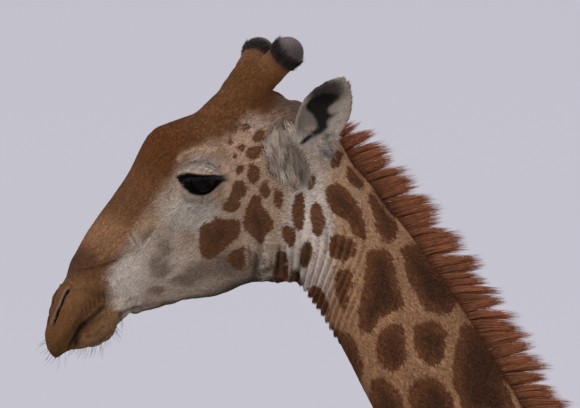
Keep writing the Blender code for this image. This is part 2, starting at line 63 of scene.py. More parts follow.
# The head's own directions: along the face to the nose, up from it, and out to the left.
PITCH, YAW, ROLL = (math.radians(a) for a in (35.0, 18.0, 3.5))
EYE_AT = np.array((0.218, 0.138, 0.110))
EAR_ROOT_AT = np.array((-0.010, 0.060, 0.092))
EAR_TIPS_AT = np.array(((-0.155, 0.142, 0.160), (-0.155, 0.040, 0.185)))    # the right ear is laid back
EAR_FACING = np.array((0.25, 0.05, 0.96))
HORN_ROOT_AT, HORN_TIP_AT = np.array((0.030, 0.209, 0.012)), np.array((-0.095, 0.248, 0.089))
HORN_CUT = 0.50         # share of the horn's length where the solids have their cut
# The marks are drawn as seen from this far off, at this place of the middle plane and up this slope.
DRAWN_FROM, PLANE_MIDDLE, LOOK_UP = 16.0, np.array((-1.145, 4.249)), 0.0349
HORN_LOW = 0.16         # height in the head's coordinates below which nothing counts as horn
TRUNK_TOP, LEG_TOP = 2.9, 1.75      # heights in metres where the neck's and the trunk's coats end
OUTSIDE = -0.06         # the depth of a place outside all the patches
# The eye's opening, in degrees about its middle: half its length, and the height and slope of its corners.
LID_REACH, CORNER_HEIGHT, CORNER_SLOPE = 68.0, 7.0, 0.03

# The middle line of the neck from the poll to the withers, as (y, z).
NECK_LINE = np.array([
    (-1.239, 4.450), (-1.1915, 4.389), (-1.114, 4.2785), (-1.030, 4.1675), (-0.9175, 4.004), (-0.7875, 3.775),
    (-0.639, 3.5225), (-0.484, 3.2875), (-0.309, 3.075), (-0.124, 2.9025), (0.046, 2.740), (0.186, 2.560)])
# Rows of the mane down the nape: place of the root, how far the tips stand off, and half the thickness.
MANE_ROWS = np.array([
    (-1.109, 4.452, .010, .010, .006), (-1.082, 4.420, .040, .028, .010), (-1.039, 4.372, .080, .038, .013),
    (-0.934, 4.250, .094, .024, .013), (-0.787, 4.048, .100, .010, .013), (-0.636, 3.805, .098, .012, .013),
    (-0.459, 3.555, .086, .028, .013), (-0.269, 3.335, .062, .048, .013), (-0.044, 3.175, .032, .060, .012),
    (0.146, 3.100, .014, .045, .010), (0.276, 3.060, .008, .018, .007)])
# The middle line of the tail, and rows of its brush: place and half the thickness.
TAIL_LINE = np.array([
    (1.486, 2.45), (1.556, 2.40), (1.611, 2.30), (1.631, 2.12), (1.631, 1.90), (1.626, 1.68), (1.621, 1.52)])
BRUSH_ROWS = np.array([
    (1.621, 1.5195, .015), (1.622, 1.44, .030), (1.626, 1.28, .044), (1.628, 1.10, .040), (1.626, 0.94, .024),
    (1.624, 0.86, .006)])

# Marks on the near side, in millimetres of (y, z) from a place on the cheek. The far side of the head has
# them mirrored. Each outline of the first list is one patch of the neck.
MARKS_FROM = np.array((-1300, 4200))
NECK_PATCHES = [
    [(243, 159), (264, 162), (268, 146), (259, 125), (243, 122), (239, 141)],
    [(271, 114), (282, 130), (301, 125), (314, 98), (313, 82), (296, 78), (276, 96)],
    [(235, 90), (253, 96), (277, 82), (294, 58), (314, 13), (320, -13), (312, -29), (296, -24), (282, 5),
     (256, 21), (235, 45), (229, 72)],
    [(317, 72), (330, 80), (349, 69), (367, 45), (386, 3), (383, -19), (365, -34), (346, -27), (338, 0),
     (325, 40)],
    [(237, -24), (256, -13), (280, -21), (294, -42), (290, -66), (269, -74), (243, -64), (235, -45)],
    [(314, -56), (338, -42), (365, -50), (378, -77), (383, -125), (399, -157), (389, -175), (357, -186),
     (333, -207), (320, -231), (304, -220), (294, -189), (306, -146), (314, -98)],
    [(386, -45), (415, -29), (442, -56), (474, -88), (495, -114), (512, -151), (495, -191), (458, -183),
     (431, -167), (410, -125), (394, -77)],
    [(251, -93), (269, -85), (290, -96), (285, -125), (274, -162), (264, -175), (253, -151), (250, -119)],
    [(338, -236), (362, -207), (394, -204), (400, -231), (402, -279), (389, -300), (367, -306), (346, -289),
     (329, -263)],
    [(419, -202), (452, -199), (479, -207), (491, -231), (483, -268), (463, -297), (442, -287), (421, -268),
     (415, -231)],
    [(516, -199), (548, -210), (580, -247), (606, -284), (616, -316), (606, -327), (617, -353), (628, -385),
     (606, -428), (537, -422), (516, -380), (503, -343), (495, -305), (508, -252)],
    [(229, -204), (274, -222), (298, -250), (310, -284), (308, -327), (294, -327), (261, -273),
     (235, -231)],
    [(330, -319), (352, -319), (378, -337), (394, -358), (398, -396), (389, -433), (352, -443), (325, -401),
     (320, -369), (324, -337)],
    [(410, -332), (436, -316), (468, -321), (495, -348), (503, -385), (500, -428), (474, -449), (426, -443),
     (409, -406), (405, -358)],
    [(159, 45), (168, 72), (180, 65), (187, 35), (184, -3), (171, -8), (159, 8)],
    [(200, 40), (208, 56), (223, 45), (229, 13), (223, -8), (205, -7), (197, 13)],
    [(195, 104), (205, 114), (212, 101), (203, 80), (192, 78)],
    [(179, -45), (187, -29), (200, -34), (202, -61), (190, -85), (176, -82)],
]
# Round spots of the head: middle, its two radii and its turn in degrees.
HEAD_SPOTS = [
    (35, 208, 8, 8, 0),
    (61, 212, 9, 8, 0),
    (90, 193, 15, 10, 50),
    (29, 180, 5, 5, 0),
    (123, 115, 13, 7, -30),
    (153, -17, 19, 11, -60),
    (165, 98, 15, 8, 90),
]
# Larger patches of the head.
HEAD_PATCHES = [
    [(28, -52), (47, -44), (67, -34), (72, -54), (70, -83), (57, -96), (37, -83), (21, -73)],
    [(44, 100), (57, 97), (67, 79), (60, 66), (44, 58), (52, 48), (36, 31), (24, 35), (14, 40), (10, 41),
     (24, 61), (32, 80), (37, 97)],
    [(44, 129), (57, 134), (58, 124), (54, 113), (44, 113), (39, 121)],
    [(70, 134), (83, 133), (91, 123), (90, 107), (83, 92), (75, 90), (68, 97), (63, 110), (67, 126)],
    [(60, 156), (67, 167), (83, 172), (98, 172), (95, 156), (86, 144), (77, 143), (63, 147)],
    [(34, 151), (39, 156), (45, 152), (43, 146), (37, 145)],
    [(44, 172), (56, 178), (61, 169), (55, 159), (47, 163)],
    [(79, 181), (77, 191), (90, 202), (103, 204), (103, 197), (97, 185), (86, 180)],
    [(90, 90), (103, 99), (111, 92), (113, 77), (109, 64), (103, 60), (95, 70), (90, 80)],
    [(122, 80), (132, 86), (140, 77), (139, 61), (137, 44), (129, 39), (122, 50), (121, 67)],
    [(83, 71), (93, 61), (96, 48), (103, 35), (112, 22), (121, 9), (119, -5), (109, -11), (104, -24),
     (96, -37), (86, -33), (77, -22), (70, -14), (60, -5), (56, 9), (59, 25), (62, 41), (70, 54), (75, 64)],
    [(5, 18), (24, 18), (41, 16), (51, 9), (49, -18), (31, -31), (18, -44), (1, -61), (-15, -69),
     (-28, -65), (-34, -57), (-37, -37), (-36, -18), (-34, -1), (-25, 7), (-8, 9), (-3, 22)],
    [(139, -1), (148, 6), (165, -5), (169, -18), (163, -37), (155, -44), (147, -31), (139, -18)],
    [(158, 35), (165, 54), (171, 71), (184, 74), (188, 38), (186, 12), (181, -7), (171, -5), (161, 15)],
    [(203, 35), (214, 53), (224, 41), (227, 12), (224, -11), (217, -22), (204, -15), (200, 12)],
    [(184, -30), (201, -37), (205, -54), (198, -74), (188, -67), (183, -50)],
    [(118, -116), (122, -80), (129, -50), (142, -50), (152, -70), (152, -89), (149, -119), (132, -124)],
    [(152, -125), (155, -96), (171, -92), (179, -106), (180, -138), (165, -138)],
    [(188, -145), (199, -125), (217, -124), (235, -145), (239, -181), (227, -191), (210, -174),
     (191, -152)],
]
# Soft lines on the head: what each is, its colour, half width in millimetres, strength and places.
STROKES = [
    # The folds of the throat are painted: shade in their troughs and light on their crests.
    ("fold, painted shade", "3A3022", 8.0, 0.75, [(83, -50), (81, -80), (78, -110)]),
    ("fold, painted shade", "33281A", 6.5, 0.8, [(134, -32), (129, -67), (126, -89), (122, -122)]),
    ("fold, painted shade", "372B1E", 8.0, 0.75, [(192, -24), (189, -50), (183, -67), (177, -90)]),
    ("fold, painted shade", "2F261B", 9.0, 0.75, [(166, -82), (169, -112), (177, -138)]),
    ("fold, painted light", "D2C2AE", 4.4, 0.95, [(107, -10), (103, -50), (101, -83), (99, -120)]),
    ("fold, painted light", "BBA892", 3.8, 0.85, [(59, -6), (62, -40), (63, -73), (59, -100)]),
    ("fold, painted light", "D2C2AE", 4.0, 0.9, [(179, -4), (175, -31), (165, -54), (155, -80)]),
    ("fold, painted light", "CDBDA9", 3.6, 0.75, [(209, -80), (201, -106), (193, -136)]),
    ("dark below the ear", "2A231B", 9.0, 0.85, [(112, 142), (120, 125), (133, 113), (147, 106)]),
    ("dark below the ear", "3A3026", 6.0, 0.7, [(155, 106), (163, 96), (170, 84)]),
    # The lower ridge's lines, the creases and the lip folds below are painted shade in the skin's wrinkles.
    ("lower ridge", "33241B", 1.5, 0.75, [(-305, -97), (-285, -89), (-262, -86), (-239, -79), (-217, -72),
     (-197, -66), (-174, -60)]),
    ("lower ridge, far part", "54463C", 2.2, 0.6, [(-177, -64), (-161, -46), (-148, -23), (-132, -2)]),
    ("crease over it", "4A3324", 1.1, 0.5, [(-272, -68), (-256, -60), (-230, -55), (-210, -54)]),
    ("crease over it", "4A3324", 1.1, 0.5, [(-269, -75), (-239, -70), (-217, -64), (-197, -56)]),
    ("crease above", "50382A", 1.6, 0.4, [(-272, -50), (-252, -42), (-233, -38), (-223, -41)]),
    ("lip fold", "5A3A22", 1.6, 0.5, [(-272, -103), (-246, -110), (-230, -120), (-223, -136)]),
    ("lip fold", "5A3A22", 1.3, 0.45, [(-288, -162), (-272, -175), (-259, -182)]),
    ("lip fold", "5A3A22", 1.3, 0.45, [(-275, -152), (-259, -166), (-246, -172)]),
    ("lip fold", "5A3A22", 1.3, 0.45, [(-262, -143), (-246, -156), (-236, -162)]),
    ("shade under the lip", "1F1812", 8.0, 0.9, [(-297, -256), (-299, -240), (-296, -224), (-288, -210),
     (-275, -197)]),
    ("chin", "4A381F", 3.0, 0.6, [(-279, -234), (-262, -231), (-249, -218), (-236, -208)]),
    ("chin", "4A381F", 3.0, 0.6, [(-259, -247), (-239, -234), (-226, -221)]),
    ("chin", "5A452A", 2.0, 0.5, [(-272, -205), (-256, -198), (-239, -182)]),
    ("chin, back", "3E352A", 3.5, 0.75, [(-210, -194), (-204, -183), (-190, -175), (-170, -169),
     (-147, -162)]),
    ("jaw", "5D5247", 2.2, 0.5, [(-200, -162), (-181, -152), (-161, -152), (-141, -159)]),
    ("jaw", "5D5247", 3.0, 0.5, [(-141, -135), (-128, -139), (-115, -136)]),
    ("jaw", "4E453A", 3.0, 0.55, [(-187, -175), (-161, -166), (-135, -162), (-99, -159)]),
    ("jaw", "B9AB99", 3.0, 0.5, [(-213, -169), (-187, -162), (-168, -162), (-145, -166)]),
    ("edge of the upper lid", "D0C6BE", 1.8, 0.8, [(-69, 120), (-48, 125), (-31, 126), (-13, 120), (1, 112),
     (14, 107)]),
    # Painted shade in the creases of the upper lid.
    ("crease of the upper lid", "4E4038", 2.0, 0.55, [(-90, 119), (-83, 130), (-74, 137), (-57, 139),
     (-48, 135)]),
    ("crease of the upper lid", "6A5D54", 1.8, 0.5, [(-57, 134), (-34, 137), (-8, 130), (8, 120)]),
    ("brow", "D6BC98", 5.0, 0.45, [(-90, 134), (-77, 151), (-54, 162), (-25, 166), (1, 159)]),
    ("tear line", "2A2420", 0.9, 0.7, [(-75, 74), (-66, 61), (-61, 41), (-57, 24)]),
    ("below the lower lid", "8F8981", 4.0, 0.5, [(-77, 64), (-54, 58), (-31, 58), (-8, 66)]),
    # Painted shade in the creases of the cheek.
    ("crease of the cheek", "776A5C", 2.0, 0.45, [(-132, 35), (-113, 33), (-93, 36)]),
    ("crease of the cheek", "85786A", 2.0, 0.4, [(-51, 43), (-34, 41), (-15, 44)]),
    ("pale line", "C4B09A", 2.6, 0.6, [(-44, -5), (-43, -24), (-44, -44), (-41, -57)]),
    ("pale line", "BFAE9A", 2.2, 0.5, [(-110, -27), (-93, -44), (-85, -63), (-80, -83)]),
]
# Grey shadows on the pale cheek, given as the round spots are.
GREY_SPOTS = [
    (-124, -84, 25, 19, -30),
    (-45, -91, 32, 19, 10),
    (14, -80, 15, 17, 0),
    (-128, -133, 15, 8, 0),
    (-74, -114, 29, 13, -15),
    (-110, -46, 19, 17, 0),
]
# Outlines of areas of the head, among them the jaw's underside, which is painted shade, and of the dark band
# along the nape.
UPPER_FACE = [(176, 436), (-34, 352), (-202, 204), (-328, -48), (-412, -216), (-391, -310), (-324, -304),
              (-286, -253), (-254, -205), (-223, -165), (-236, -129), (-238, -106), (-223, -81),
              (-198, -48), (-177, -1), (-147, 41), (-118, 74), (-97, 100), (-84, 129), (-61, 156),
              (-34, 177), (0, 179), (25, 196), (69, 240), (100, 261), (134, 280), (176, 288)]
CHIN = [(-219, -161), (-202, -190), (-210, -224), (-234, -247), (-276, -268), (-307, -262), (-311, -241),
        (-286, -216), (-254, -190)]
JAW_UNDERSIDE_SHADE = [(-202, -205), (-170, -180), (-139, -171), (-66, -152), (-2, -138), (50, -113), (88, -102),
                 (105, -136), (50, -161), (-55, -182), (-139, -199), (-185, -224)]
EYE_BLACK = [(-89, 106), (-78, 114), (-61, 117), (-44, 114), (-25, 112), (-8, 111), (21, 111), (22, 103),
             (6, 87), (-15, 70), (-36, 64), (-59, 70), (-74, 85), (-84, 100)]
EAR_HOLLOW = [(184, 259), (193, 271), (214, 281), (236, 285), (259, 284), (265, 271), (252, 263),
              (241, 254), (236, 244), (246, 239), (259, 244), (256, 237), (243, 228), (233, 222),
              (237, 210), (226, 199), (213, 193), (200, 187), (190, 178), (179, 173), (187, 185),
              (198, 200), (210, 212), (210, 220), (203, 232), (193, 240), (186, 249)]
EAR_SLIT = (189, 185, 17, 5, 40)
EAR_ROOT = [(102, 198), (117, 209), (132, 221), (158, 218), (165, 198), (171, 169), (181, 142), (188, 134),
            (188, 116), (180, 107), (169, 108), (148, 118), (132, 126), (114, 138), (104, 152), (98, 169)]
NAPE_BAND = [(261, 173), (314, 104), (383, 13), (431, -29), (495, -114), (537, -178), (606, -284),
             (633, -353), (665, -422), (810, -660), (995, -890), (1210, -1060), (1400, -1130),
             (1460, -1040), (1150, -800), (900, -500), (700, -150), (550, 50), (350, 220)]
# Areas of colour on the head: what each is, its place, reach along y and z, colour and strength.
BROWN_AREAS = [
    ("crown", -24, 246, 84, 59, "734A29", 0.9),
    ("forehead", -108, 162, 67, 63, "653B1A", 0.9),
    ("bridge", -192, 58, 52, 52, "724D30", 0.8),
    ("nose middle", -236, -22, 50, 46, "9C7250", 0.9),
    ("nose low", -290, -79, 38, 34, "583C28", 0.8),
    ("lip", -276, -152, 52, 46, "87603C", 0.8),
    ("lip tip", -332, -253, 42, 38, "664A21", 0.8),
    ("muzzle front", -349, -205, 34, 42, "7C532F", 0.6),
]
PALE_AREAS = [
    ("back of the head", 71, 68, 116, 130, "B4977C", 0.95),
    ("faint spot", -69, -32, 22, 26, "9A7A61", 0.8),
    ("back of the jaw", 24, -78, 48, 30, "7E6752", 0.8),
    ("temple", 42, 162, 71, 42, "BC987C", 0.9),
    ("above the eye", -21, 158, 46, 19, "AC8C70", 0.9),
    ("upper lid", -28, 135, 38, 13, "A79B90", 0.7),
    ("under the eye", -55, 26, 59, 36, "BAB0A1", 0.9),
    ("cheek", -128, -73, 71, 50, "C8B7A4", 0.9),
    ("muzzle side", -192, -115, 38, 42, "D6CABB", 0.9),
    ("mouth corner", -208, -172, 30, 24, "D2C1AA", 0.9),
    ("side of the nose", -156, 16, 32, 38, "A38264", 0.9),
    ("jaw", -34, -125, 94, 15, "B2A08D", 0.7),
    ("poll", 163, 246, 46, 36, "7D6858", 0.95),
    ("under the horn", 117, 251, 36, 34, "8A6B55", 0.9),
]

# What later pieces need to know of the finished skin: its points, tones, bare places and patches.
flesh = {}

# Short names that the functions share: p are places in the world, h and g are places in the head's own
# coordinates (g with both sides folded onto the left), k are the numbers of the ones chosen, and t, e and u
# are shares of a length.


def linear(code):
    """Turns a colour written as sRGB hex into the linear values that shaders take."""
    parts = [int(code[i:i + 2], 16) / 255 for i in (0, 2, 4)]
    return tuple(p / 12.92 if p <= 0.04045 else ((p + 0.055) / 1.055) ** 2.4 for p in parts)


def add(tree, kind, settings=None, **sockets):
    """Adds one shader node. Sockets go by name, or by _number, and take a value or another node's output."""
    made = tree.nodes.new(kind)
    for name, value in (settings or {}).items():
        setattr(made, name, value)
    for name, value in sockets.items():
        socket = made.inputs[int(name[1:]) if name[0] == "_" else name.replace("_", " ")]
        if isinstance(value, bpy.types.NodeSocket):
            tree.links.new(value, socket)
        else:
            socket.default_value = value
    return made


def new_material(name):
    """An empty node material, with its output."""
    m = bpy.data.materials.new(name)
    m.use_nodes = True
    m.node_tree.nodes.clear()
    return m, m.node_tree, m.node_tree.nodes.new("ShaderNodeOutputMaterial")


def smooth(low, high, x):
    """Rises from 0 at low to 1 at high, with soft ends."""
    t = np.clip((x - low) / (high - low), 0, 1)
    return t * t * (3 - 2 * t)


def unit(v):
    return v / np.maximum(np.linalg.norm(v, axis=-1, keepdims=True), 1e-12)


def plain(code, count):
    """One colour, repeated for a number of places."""
    return np.tile(linear(code), (count, 1))


def blended(colour, over, share):
    return colour * (1 - share[:, None]) + np.asarray(over) * share[:, None]


def tinted(colour, code, share):
    """Colours with a share of another, written as sRGB hex, laid over them."""
    return blended(colour, linear(code), share)


def folded(h):
    """Places in the head's coordinates with both sides folded onto the left one."""
    g = h * 1.0
    g[:, 2] = np.abs(g[:, 2])
    return g


def side_of(h):
    """Factors that carry a place or a direction from the left side of the head to the side of each place."""
    return np.where(h[:, 2:] < 0, (1, 1, -1), (1, 1, 1))


def deselect():
    if bpy.context.object and bpy.context.object.mode != "OBJECT":
        bpy.ops.object.mode_set(mode="OBJECT")
    bpy.ops.object.select_all(action="DESELECT")


def pick(o):
    """Makes one object the only one selected."""
    deselect()
    o.select_set(True)
    bpy.context.view_layer.objects.active = o


def modify(o, kind, **settings):
    """Adds a modifier and applies it."""
    pick(o)
    m = o.modifiers.new(kind, kind)
    for name, value in settings.items():
        setattr(m, name, value)
    bpy.ops.object.modifier_apply(modifier=m.name)


def copy_of(nodes, name):
    """One object from copies of CAD nodes, with their doubled points merged."""
    copies = []
    for n in nodes:
        c = bpy.data.objects.new(name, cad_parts[n].data.copy())
        bpy.context.scene.collection.objects.link(c)
        copies.append(c)
    pick(copies[0])
    for c in copies:
        c.select_set(True)
    if len(copies) > 1:
        bpy.ops.object.join()
    o = bpy.context.object
    o.name = name
    bpy.ops.object.mode_set(mode="EDIT")
    bpy.ops.mesh.select_all(action="SELECT")
    bpy.ops.mesh.remove_doubles(threshold=0.00002)
    bpy.ops.object.mode_set(mode="OBJECT")
    o.data.materials.clear()
    return o


def points_of(o):
    co = np.empty(len(o.data.vertices) * 3)
    o.data.vertices.foreach_get("co", co)
    return co.reshape(-1, 3)


def put_points(o, co):
    o.data.vertices.foreach_set("co", np.ascontiguousarray(co, float).ravel())
    o.data.update()


def normals_of(o):
    n = np.empty(len(o.data.vertices) * 3)
    o.data.vertices.foreach_get("normal", n)
    return n.reshape(-1, 3)


def triangles_of(o):
    o.data.calc_loop_triangles()
    t = np.empty(len(o.data.loop_triangles) * 3, dtype=np.int64)
    o.data.loop_triangles.foreach_get("vertices", t)
    return t.reshape(-1, 3)


def new_piece(name, co, faces, values=None, uv=None):
    """A mesh object from arrays. faces is a list of arrays, each of faces with one number of corners."""
    mesh = bpy.data.meshes.new(name)
    mesh.vertices.add(len(co))
    mesh.vertices.foreach_set("co", np.ascontiguousarray(co, float).ravel())
    loops = np.concatenate([f.ravel() for f in faces])
    totals = np.concatenate([np.full(len(f), f.shape[1]) for f in faces])
    mesh.loops.add(len(loops))
    mesh.loops.foreach_set("vertex_index", loops.astype(np.int32))
    mesh.polygons.add(len(totals))
    mesh.polygons.foreach_set("loop_start", np.concatenate([[0], np.cumsum(totals)[:-1]]).astype(np.int32))
    mesh.polygons.foreach_set("loop_total", totals.astype(np.int32))
    mesh.polygons.foreach_set("use_smooth", np.ones(len(totals), bool))
    mesh.update(calc_edges=True)
    o = bpy.data.objects.new(name, mesh)
    bpy.context.scene.collection.objects.link(o)
    for key, value in (values or {}).items():
        store(o, key, value)
    if uv is not None:
        layer = mesh.uv_layers.new(name="OFBake")
        layer.data.foreach_set("uv", uv[loops].astype(np.float32).ravel())
    return o


def store(o, name, value):
    """Keeps one value for each point: a number, a vector or a colour."""
    value = np.asarray(value, float)
    if value.ndim == 1:
        a = o.data.attributes.new(name, "FLOAT", "POINT")
        a.data.foreach_set("value", value.astype(np.float32))
    elif name.endswith("_tone"):
        a = o.data.attributes.new(name, "FLOAT_COLOR", "POINT")
        a.data.foreach_set("color", np.hstack([value, np.ones((len(value), 1))]).astype(np.float32).ravel())
    else:
        a = o.data.attributes.new(name, "FLOAT_VECTOR", "POINT")
        a.data.foreach_set("vector", value.astype(np.float32).ravel())


def group(o, name, weights):
    """A vertex group from an array, in tenths."""
    g = o.vertex_groups.new(name=name)
    steps = np.rint(weights * 10).astype(int)
    for s in range(1, 11):
        g.add(np.flatnonzero(steps == s).tolist(), s / 10, "REPLACE")
    return g


def keep_piece(o, slot, *nodes):
    """Rides on the body and stands for its CAD nodes, which it hides. slot is not used."""
    o.data.name = o.name
    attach(o, "root")
    if nodes:
        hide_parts(*nodes)


# The head's directions as a matrix, and where they start, from the places of the eyes.

def head_axes():
    along = (0, -math.cos(PITCH), -math.sin(PITCH))
    up = (0, -math.sin(PITCH), math.cos(PITCH))
    axes = np.array((along, up, (1, 0, 0))).T
    turn = np.array(((math.cos(YAW), -math.sin(YAW), 0), (math.sin(YAW), math.cos(YAW), 0), (0, 0, 1)))
    roll = np.array(((1, 0, 0), (0, math.cos(ROLL), -math.sin(ROLL)), (0, math.sin(ROLL), math.cos(ROLL))))
    return turn @ axes @ roll


HEAD = head_axes()
EYE_PLACES = {n: np.mean([np.array(c, float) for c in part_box(n)], axis=0) for n in EYES}
HEAD_FROM = np.mean(list(EYE_PLACES.values()), axis=0) - HEAD @ np.array((EYE_AT[0], EYE_AT[1], 0))
EYE_RADIUS = (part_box("eye_left")[1][2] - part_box("eye_left")[0][2]) / 2


def to_head(p):
    return (p - HEAD_FROM) @ HEAD


def from_head(h):
    return h @ HEAD.T + HEAD_FROM


def head_share(p):
    """1 in the head, 0 in the neck."""
    return smooth(-0.03, 0.03, (p[:, 1] + 1.115) * -0.98 + (p[:, 2] - 4.05) * 0.20)


def along_line(yz, line):
    """How far along a line of the middle plane each place is, how far off it, and the line's way there."""
    best = np.full(len(yz), 1e9)
    at, off, way = np.zeros(len(yz)), np.zeros(len(yz)), np.zeros((len(yz), 2))
    gone = 0.0
    last = len(line) - 2
    for i in range(len(line) - 1):
        d = line[i + 1] - line[i]
        length = np.hypot(*d)
        d = d / length
        v = yz - line[i]
        t = v @ d
        t = np.clip(t, -1e9 if i == 0 else 0, 1e9 if i == last else length)
        gap = v - t[:, None] * d
        r = np.hypot(gap[:, 0], gap[:, 1])
        near = r < best
        best[near], at[near] = r[near], gone + t[near]
        off[near] = (gap @ np.array((-d[1], d[0])))[near]
        way[near] = d
        gone += length
    return at, off, way


def near_side(p):
    """Each place as it lies on the near side: mirrored there across the head's own middle, or the body's."""
    head = head_share(p)[:, None]
    body = p * 1.0
    body[:, 0] = np.abs(body[:, 0])
    return from_head(folded(to_head(p))) * head + body * (1 - head)


def ear_coordinates(h):
    """For the ear of each place's own side: share of its length, and distances across it and out of it."""
    reach = EAR_TIPS_AT[(h[:, 2] < 0).astype(int)] - EAR_ROOT_AT
    length = np.linalg.norm(reach, axis=1)
    axis = reach / length[:, None]
    face = unit(EAR_FACING - axis * (axis @ EAR_FACING)[:, None])
    v = folded(h) - EAR_ROOT_AT
    return (v * axis).sum(1) / length, (v * np.cross(axis, face)).sum(1), (v * face).sum(1)


def ear_share(h):
    """1 on the ears, 0 elsewhere."""
    e, across, out = ear_coordinates(h)
    near = (np.abs(across) < 0.085) * (np.abs(out) < 0.07) * (h[:, 0] < 0.045) * (np.abs(h[:, 2]) > 0.085)
    return smooth(-0.06, 0.06, e) * near


def facing_share(normal, h):
    """How far each normal points the way that the ear of its own side faces, from -1 to 1."""
    return (normal @ HEAD * side_of(h)) @ unit(EAR_FACING)


def horn_coordinates(h):
    """Share of the horn's length, and distance from its axis."""
    axis = HORN_TIP_AT - HORN_ROOT_AT
    v = folded(h) - HORN_ROOT_AT
    t = v @ axis / (axis @ axis)
    return t, np.linalg.norm(v - t[:, None] * axis, axis=1)


def eye_distance(h):
    """Distance from the middle of the eye of each place's own side."""
    return np.linalg.norm(folded(h) - EYE_AT, axis=1)


def legs_share(p):
    return smooth(1.95, 1.62, p[:, 2])


def is_tail(p):
    _, off, _ = along_line(p[:, 1:], TAIL_LINE)
    return (np.hypot(off, p[:, 0]) < 0.075) & (p[:, 1] > 1.56) & (p[:, 2] < 2.41)


def drawn_plane(p):
    """Where each place falls on the middle plane, seen from DRAWN_FROM. The marks are drawn there."""
    q = near_side(p)
    x = q[:, :1]
    return (q[:, 1:] + x * (0, LOOK_UP) - PLANE_MIDDLE) * (1 + x / DRAWN_FROM) + PLANE_MIDDLE


# Markings. The skin and every tuft take theirs from here, so they agree. Without a seed the noise starts from
# the clock, and each run would draw other borders.

noise.seed_set(11)


def wander(p, size, seed=0.0):
    """A soft vector noise of about -1 to 1, with features of the given size."""
    return np.array([noise.noise_vector(q) for q in (p / size + seed).tolist()]).reshape(-1, 3)


def in_metres(marks):
    """Places given in millimetres from MARKS_FROM, as metres."""
    return (np.array(marks, float) + MARKS_FROM) / 1000


def rounded(outline):
    """An outline with its corners cut off twice, in metres."""
    pts = in_metres(outline)
    for _ in range(2):
        after = np.roll(pts, -1, 0)
        pts = np.stack([pts * 0.75 + after * 0.25, pts * 0.25 + after * 0.75], 1).reshape(-1, 2)
    return pts


def inside(yz, outline, reach=-OUTSIDE):
    """Distance inside an outline, negative outside it and cut off at the reach."""
    pts = rounded(outline)
    found = np.full(len(yz), -reach)
    k = np.flatnonzero(((yz > pts.min(0) - reach) & (yz < pts.max(0) + reach)).all(1))
    q = yz[k]
    least, odd = np.full(len(k), 1e9), np.zeros(len(k), bool)
    for a, b in zip(pts, np.roll(pts, -1, 0)):
        e, v = b - a, q - a
        t = np.clip(v @ e / (e @ e), 0, 1)
        least = np.minimum(least, ((v - t[:, None] * e) ** 2).sum(1))
        rise = e[1] if e[1] else 1e-12
        odd ^= ((a[1] > q[:, 1]) != (b[1] > q[:, 1])) & (v[:, 0] < e[0] * v[:, 1] / rise)
    found[k] = np.where(odd, 1, -1) * np.sqrt(least)
    return np.maximum(found, -reach)


def in_spot(yz, spot):
    """Distance inside one oval spot, and the share of its radius reached."""
    y, z, a, b, turn = spot
    c, s = math.cos(math.radians(turn)), math.sin(math.radians(turn))
    v = yz - in_metres((y, z))
    n = np.hypot((v[:, 0] * c + v[:, 1] * s) / a, (v[:, 1] * c - v[:, 0] * s) / b) * 1000
    return (1 - n) * min(a, b) / 1000, n


def stroke(yz, line, width):
    """1 on a line and 0 a few widths off it, fading towards its ends."""
    pts = in_metres(line)
    found = np.zeros(len(yz))
    reach = width * 0.003
    k = np.flatnonzero(((yz > pts.min(0) - reach) & (yz < pts.max(0) + reach)).all(1))
    at, off, _ = along_line(yz[k], pts)
    total = np.hypot(*np.diff(pts, axis=0).T).sum()
    past = np.maximum(np.maximum(-at, at - total), 0)
    ends = smooth(-0.002, 0.16 * total, at) * smooth(total + 0.002, 0.84 * total, at)
    found[k] = np.exp(-(np.hypot(off, past) / (width / 1000)) ** 2) * ends
    return found


def drawn_marks(p):
    """Depth inside the patches that are drawn one by one, on the head and the upper neck."""
    head = head_share(p)
    broad = wander(p, 0.020)[:, 1:] * (0.005 - 0.0025 * head[:, None])
    yz = drawn_plane(p) + (broad + wander(p, 0.007, 3.0)[:, 1:] * 0.0018)
    depth = np.full(len(p), OUTSIDE)
    for outline in NECK_PATCHES + HEAD_PATCHES:
        depth = np.maximum(depth, inside(yz, outline))
    for spot in HEAD_SPOTS:
        depth = np.maximum(depth, in_spot(yz, spot)[0])
    return depth + 0.0012 * head


def patch_spacing(p):
    """How far apart the middles of patches are: 0.13 high on the neck, 0.235 on the trunk, 0.06 low down."""
    z = p[:, 2]
    neck = np.interp(z, [TRUNK_TOP, 3.3, 3.9], [0.23, 0.18, 0.13])
    below = np.interp(z, [0.3, 0.7, 1.2, 1.9, 2.2], [0.060, 0.080, 0.115, 0.175, 0.235])
    return np.where(z > TRUNK_TOP, neck, below)


def sow_patches(co, tris):
    """Picks the middles of the patches that aren't drawn, no two nearer than their spacing.

    Returns them with each one's radius, the way it is squashed and how much, and a shade from -1 to 1."""
    rng = np.random.default_rng(11)
    p = scatter(co, tris, np.full(len(tris), 1.0), 26000, rng)[0]
    p = p[(p[:, 2] < 3.86) & (p[:, 2] > 0.3)]
    p = p[drawn_marks(p) < -0.052]
    gap = patch_spacing(p)
    kept = np.empty((0, 3))
    sizes = []
    for place, room in zip(p, gap):
        if len(kept) == 0 or ((kept - place) ** 2).sum(1).min() > room * room:
            kept = np.vstack([kept, place])
            sizes.append(room)
    way = unit(rng.normal(size=(len(kept), 3)))
    radii = np.array(sizes) * rng.uniform(0.50, 0.62, len(kept))
    squash = rng.uniform(0.75, 1.0, len(kept))
    return kept, radii, way, squash, rng.uniform(-1, 1, len(kept))


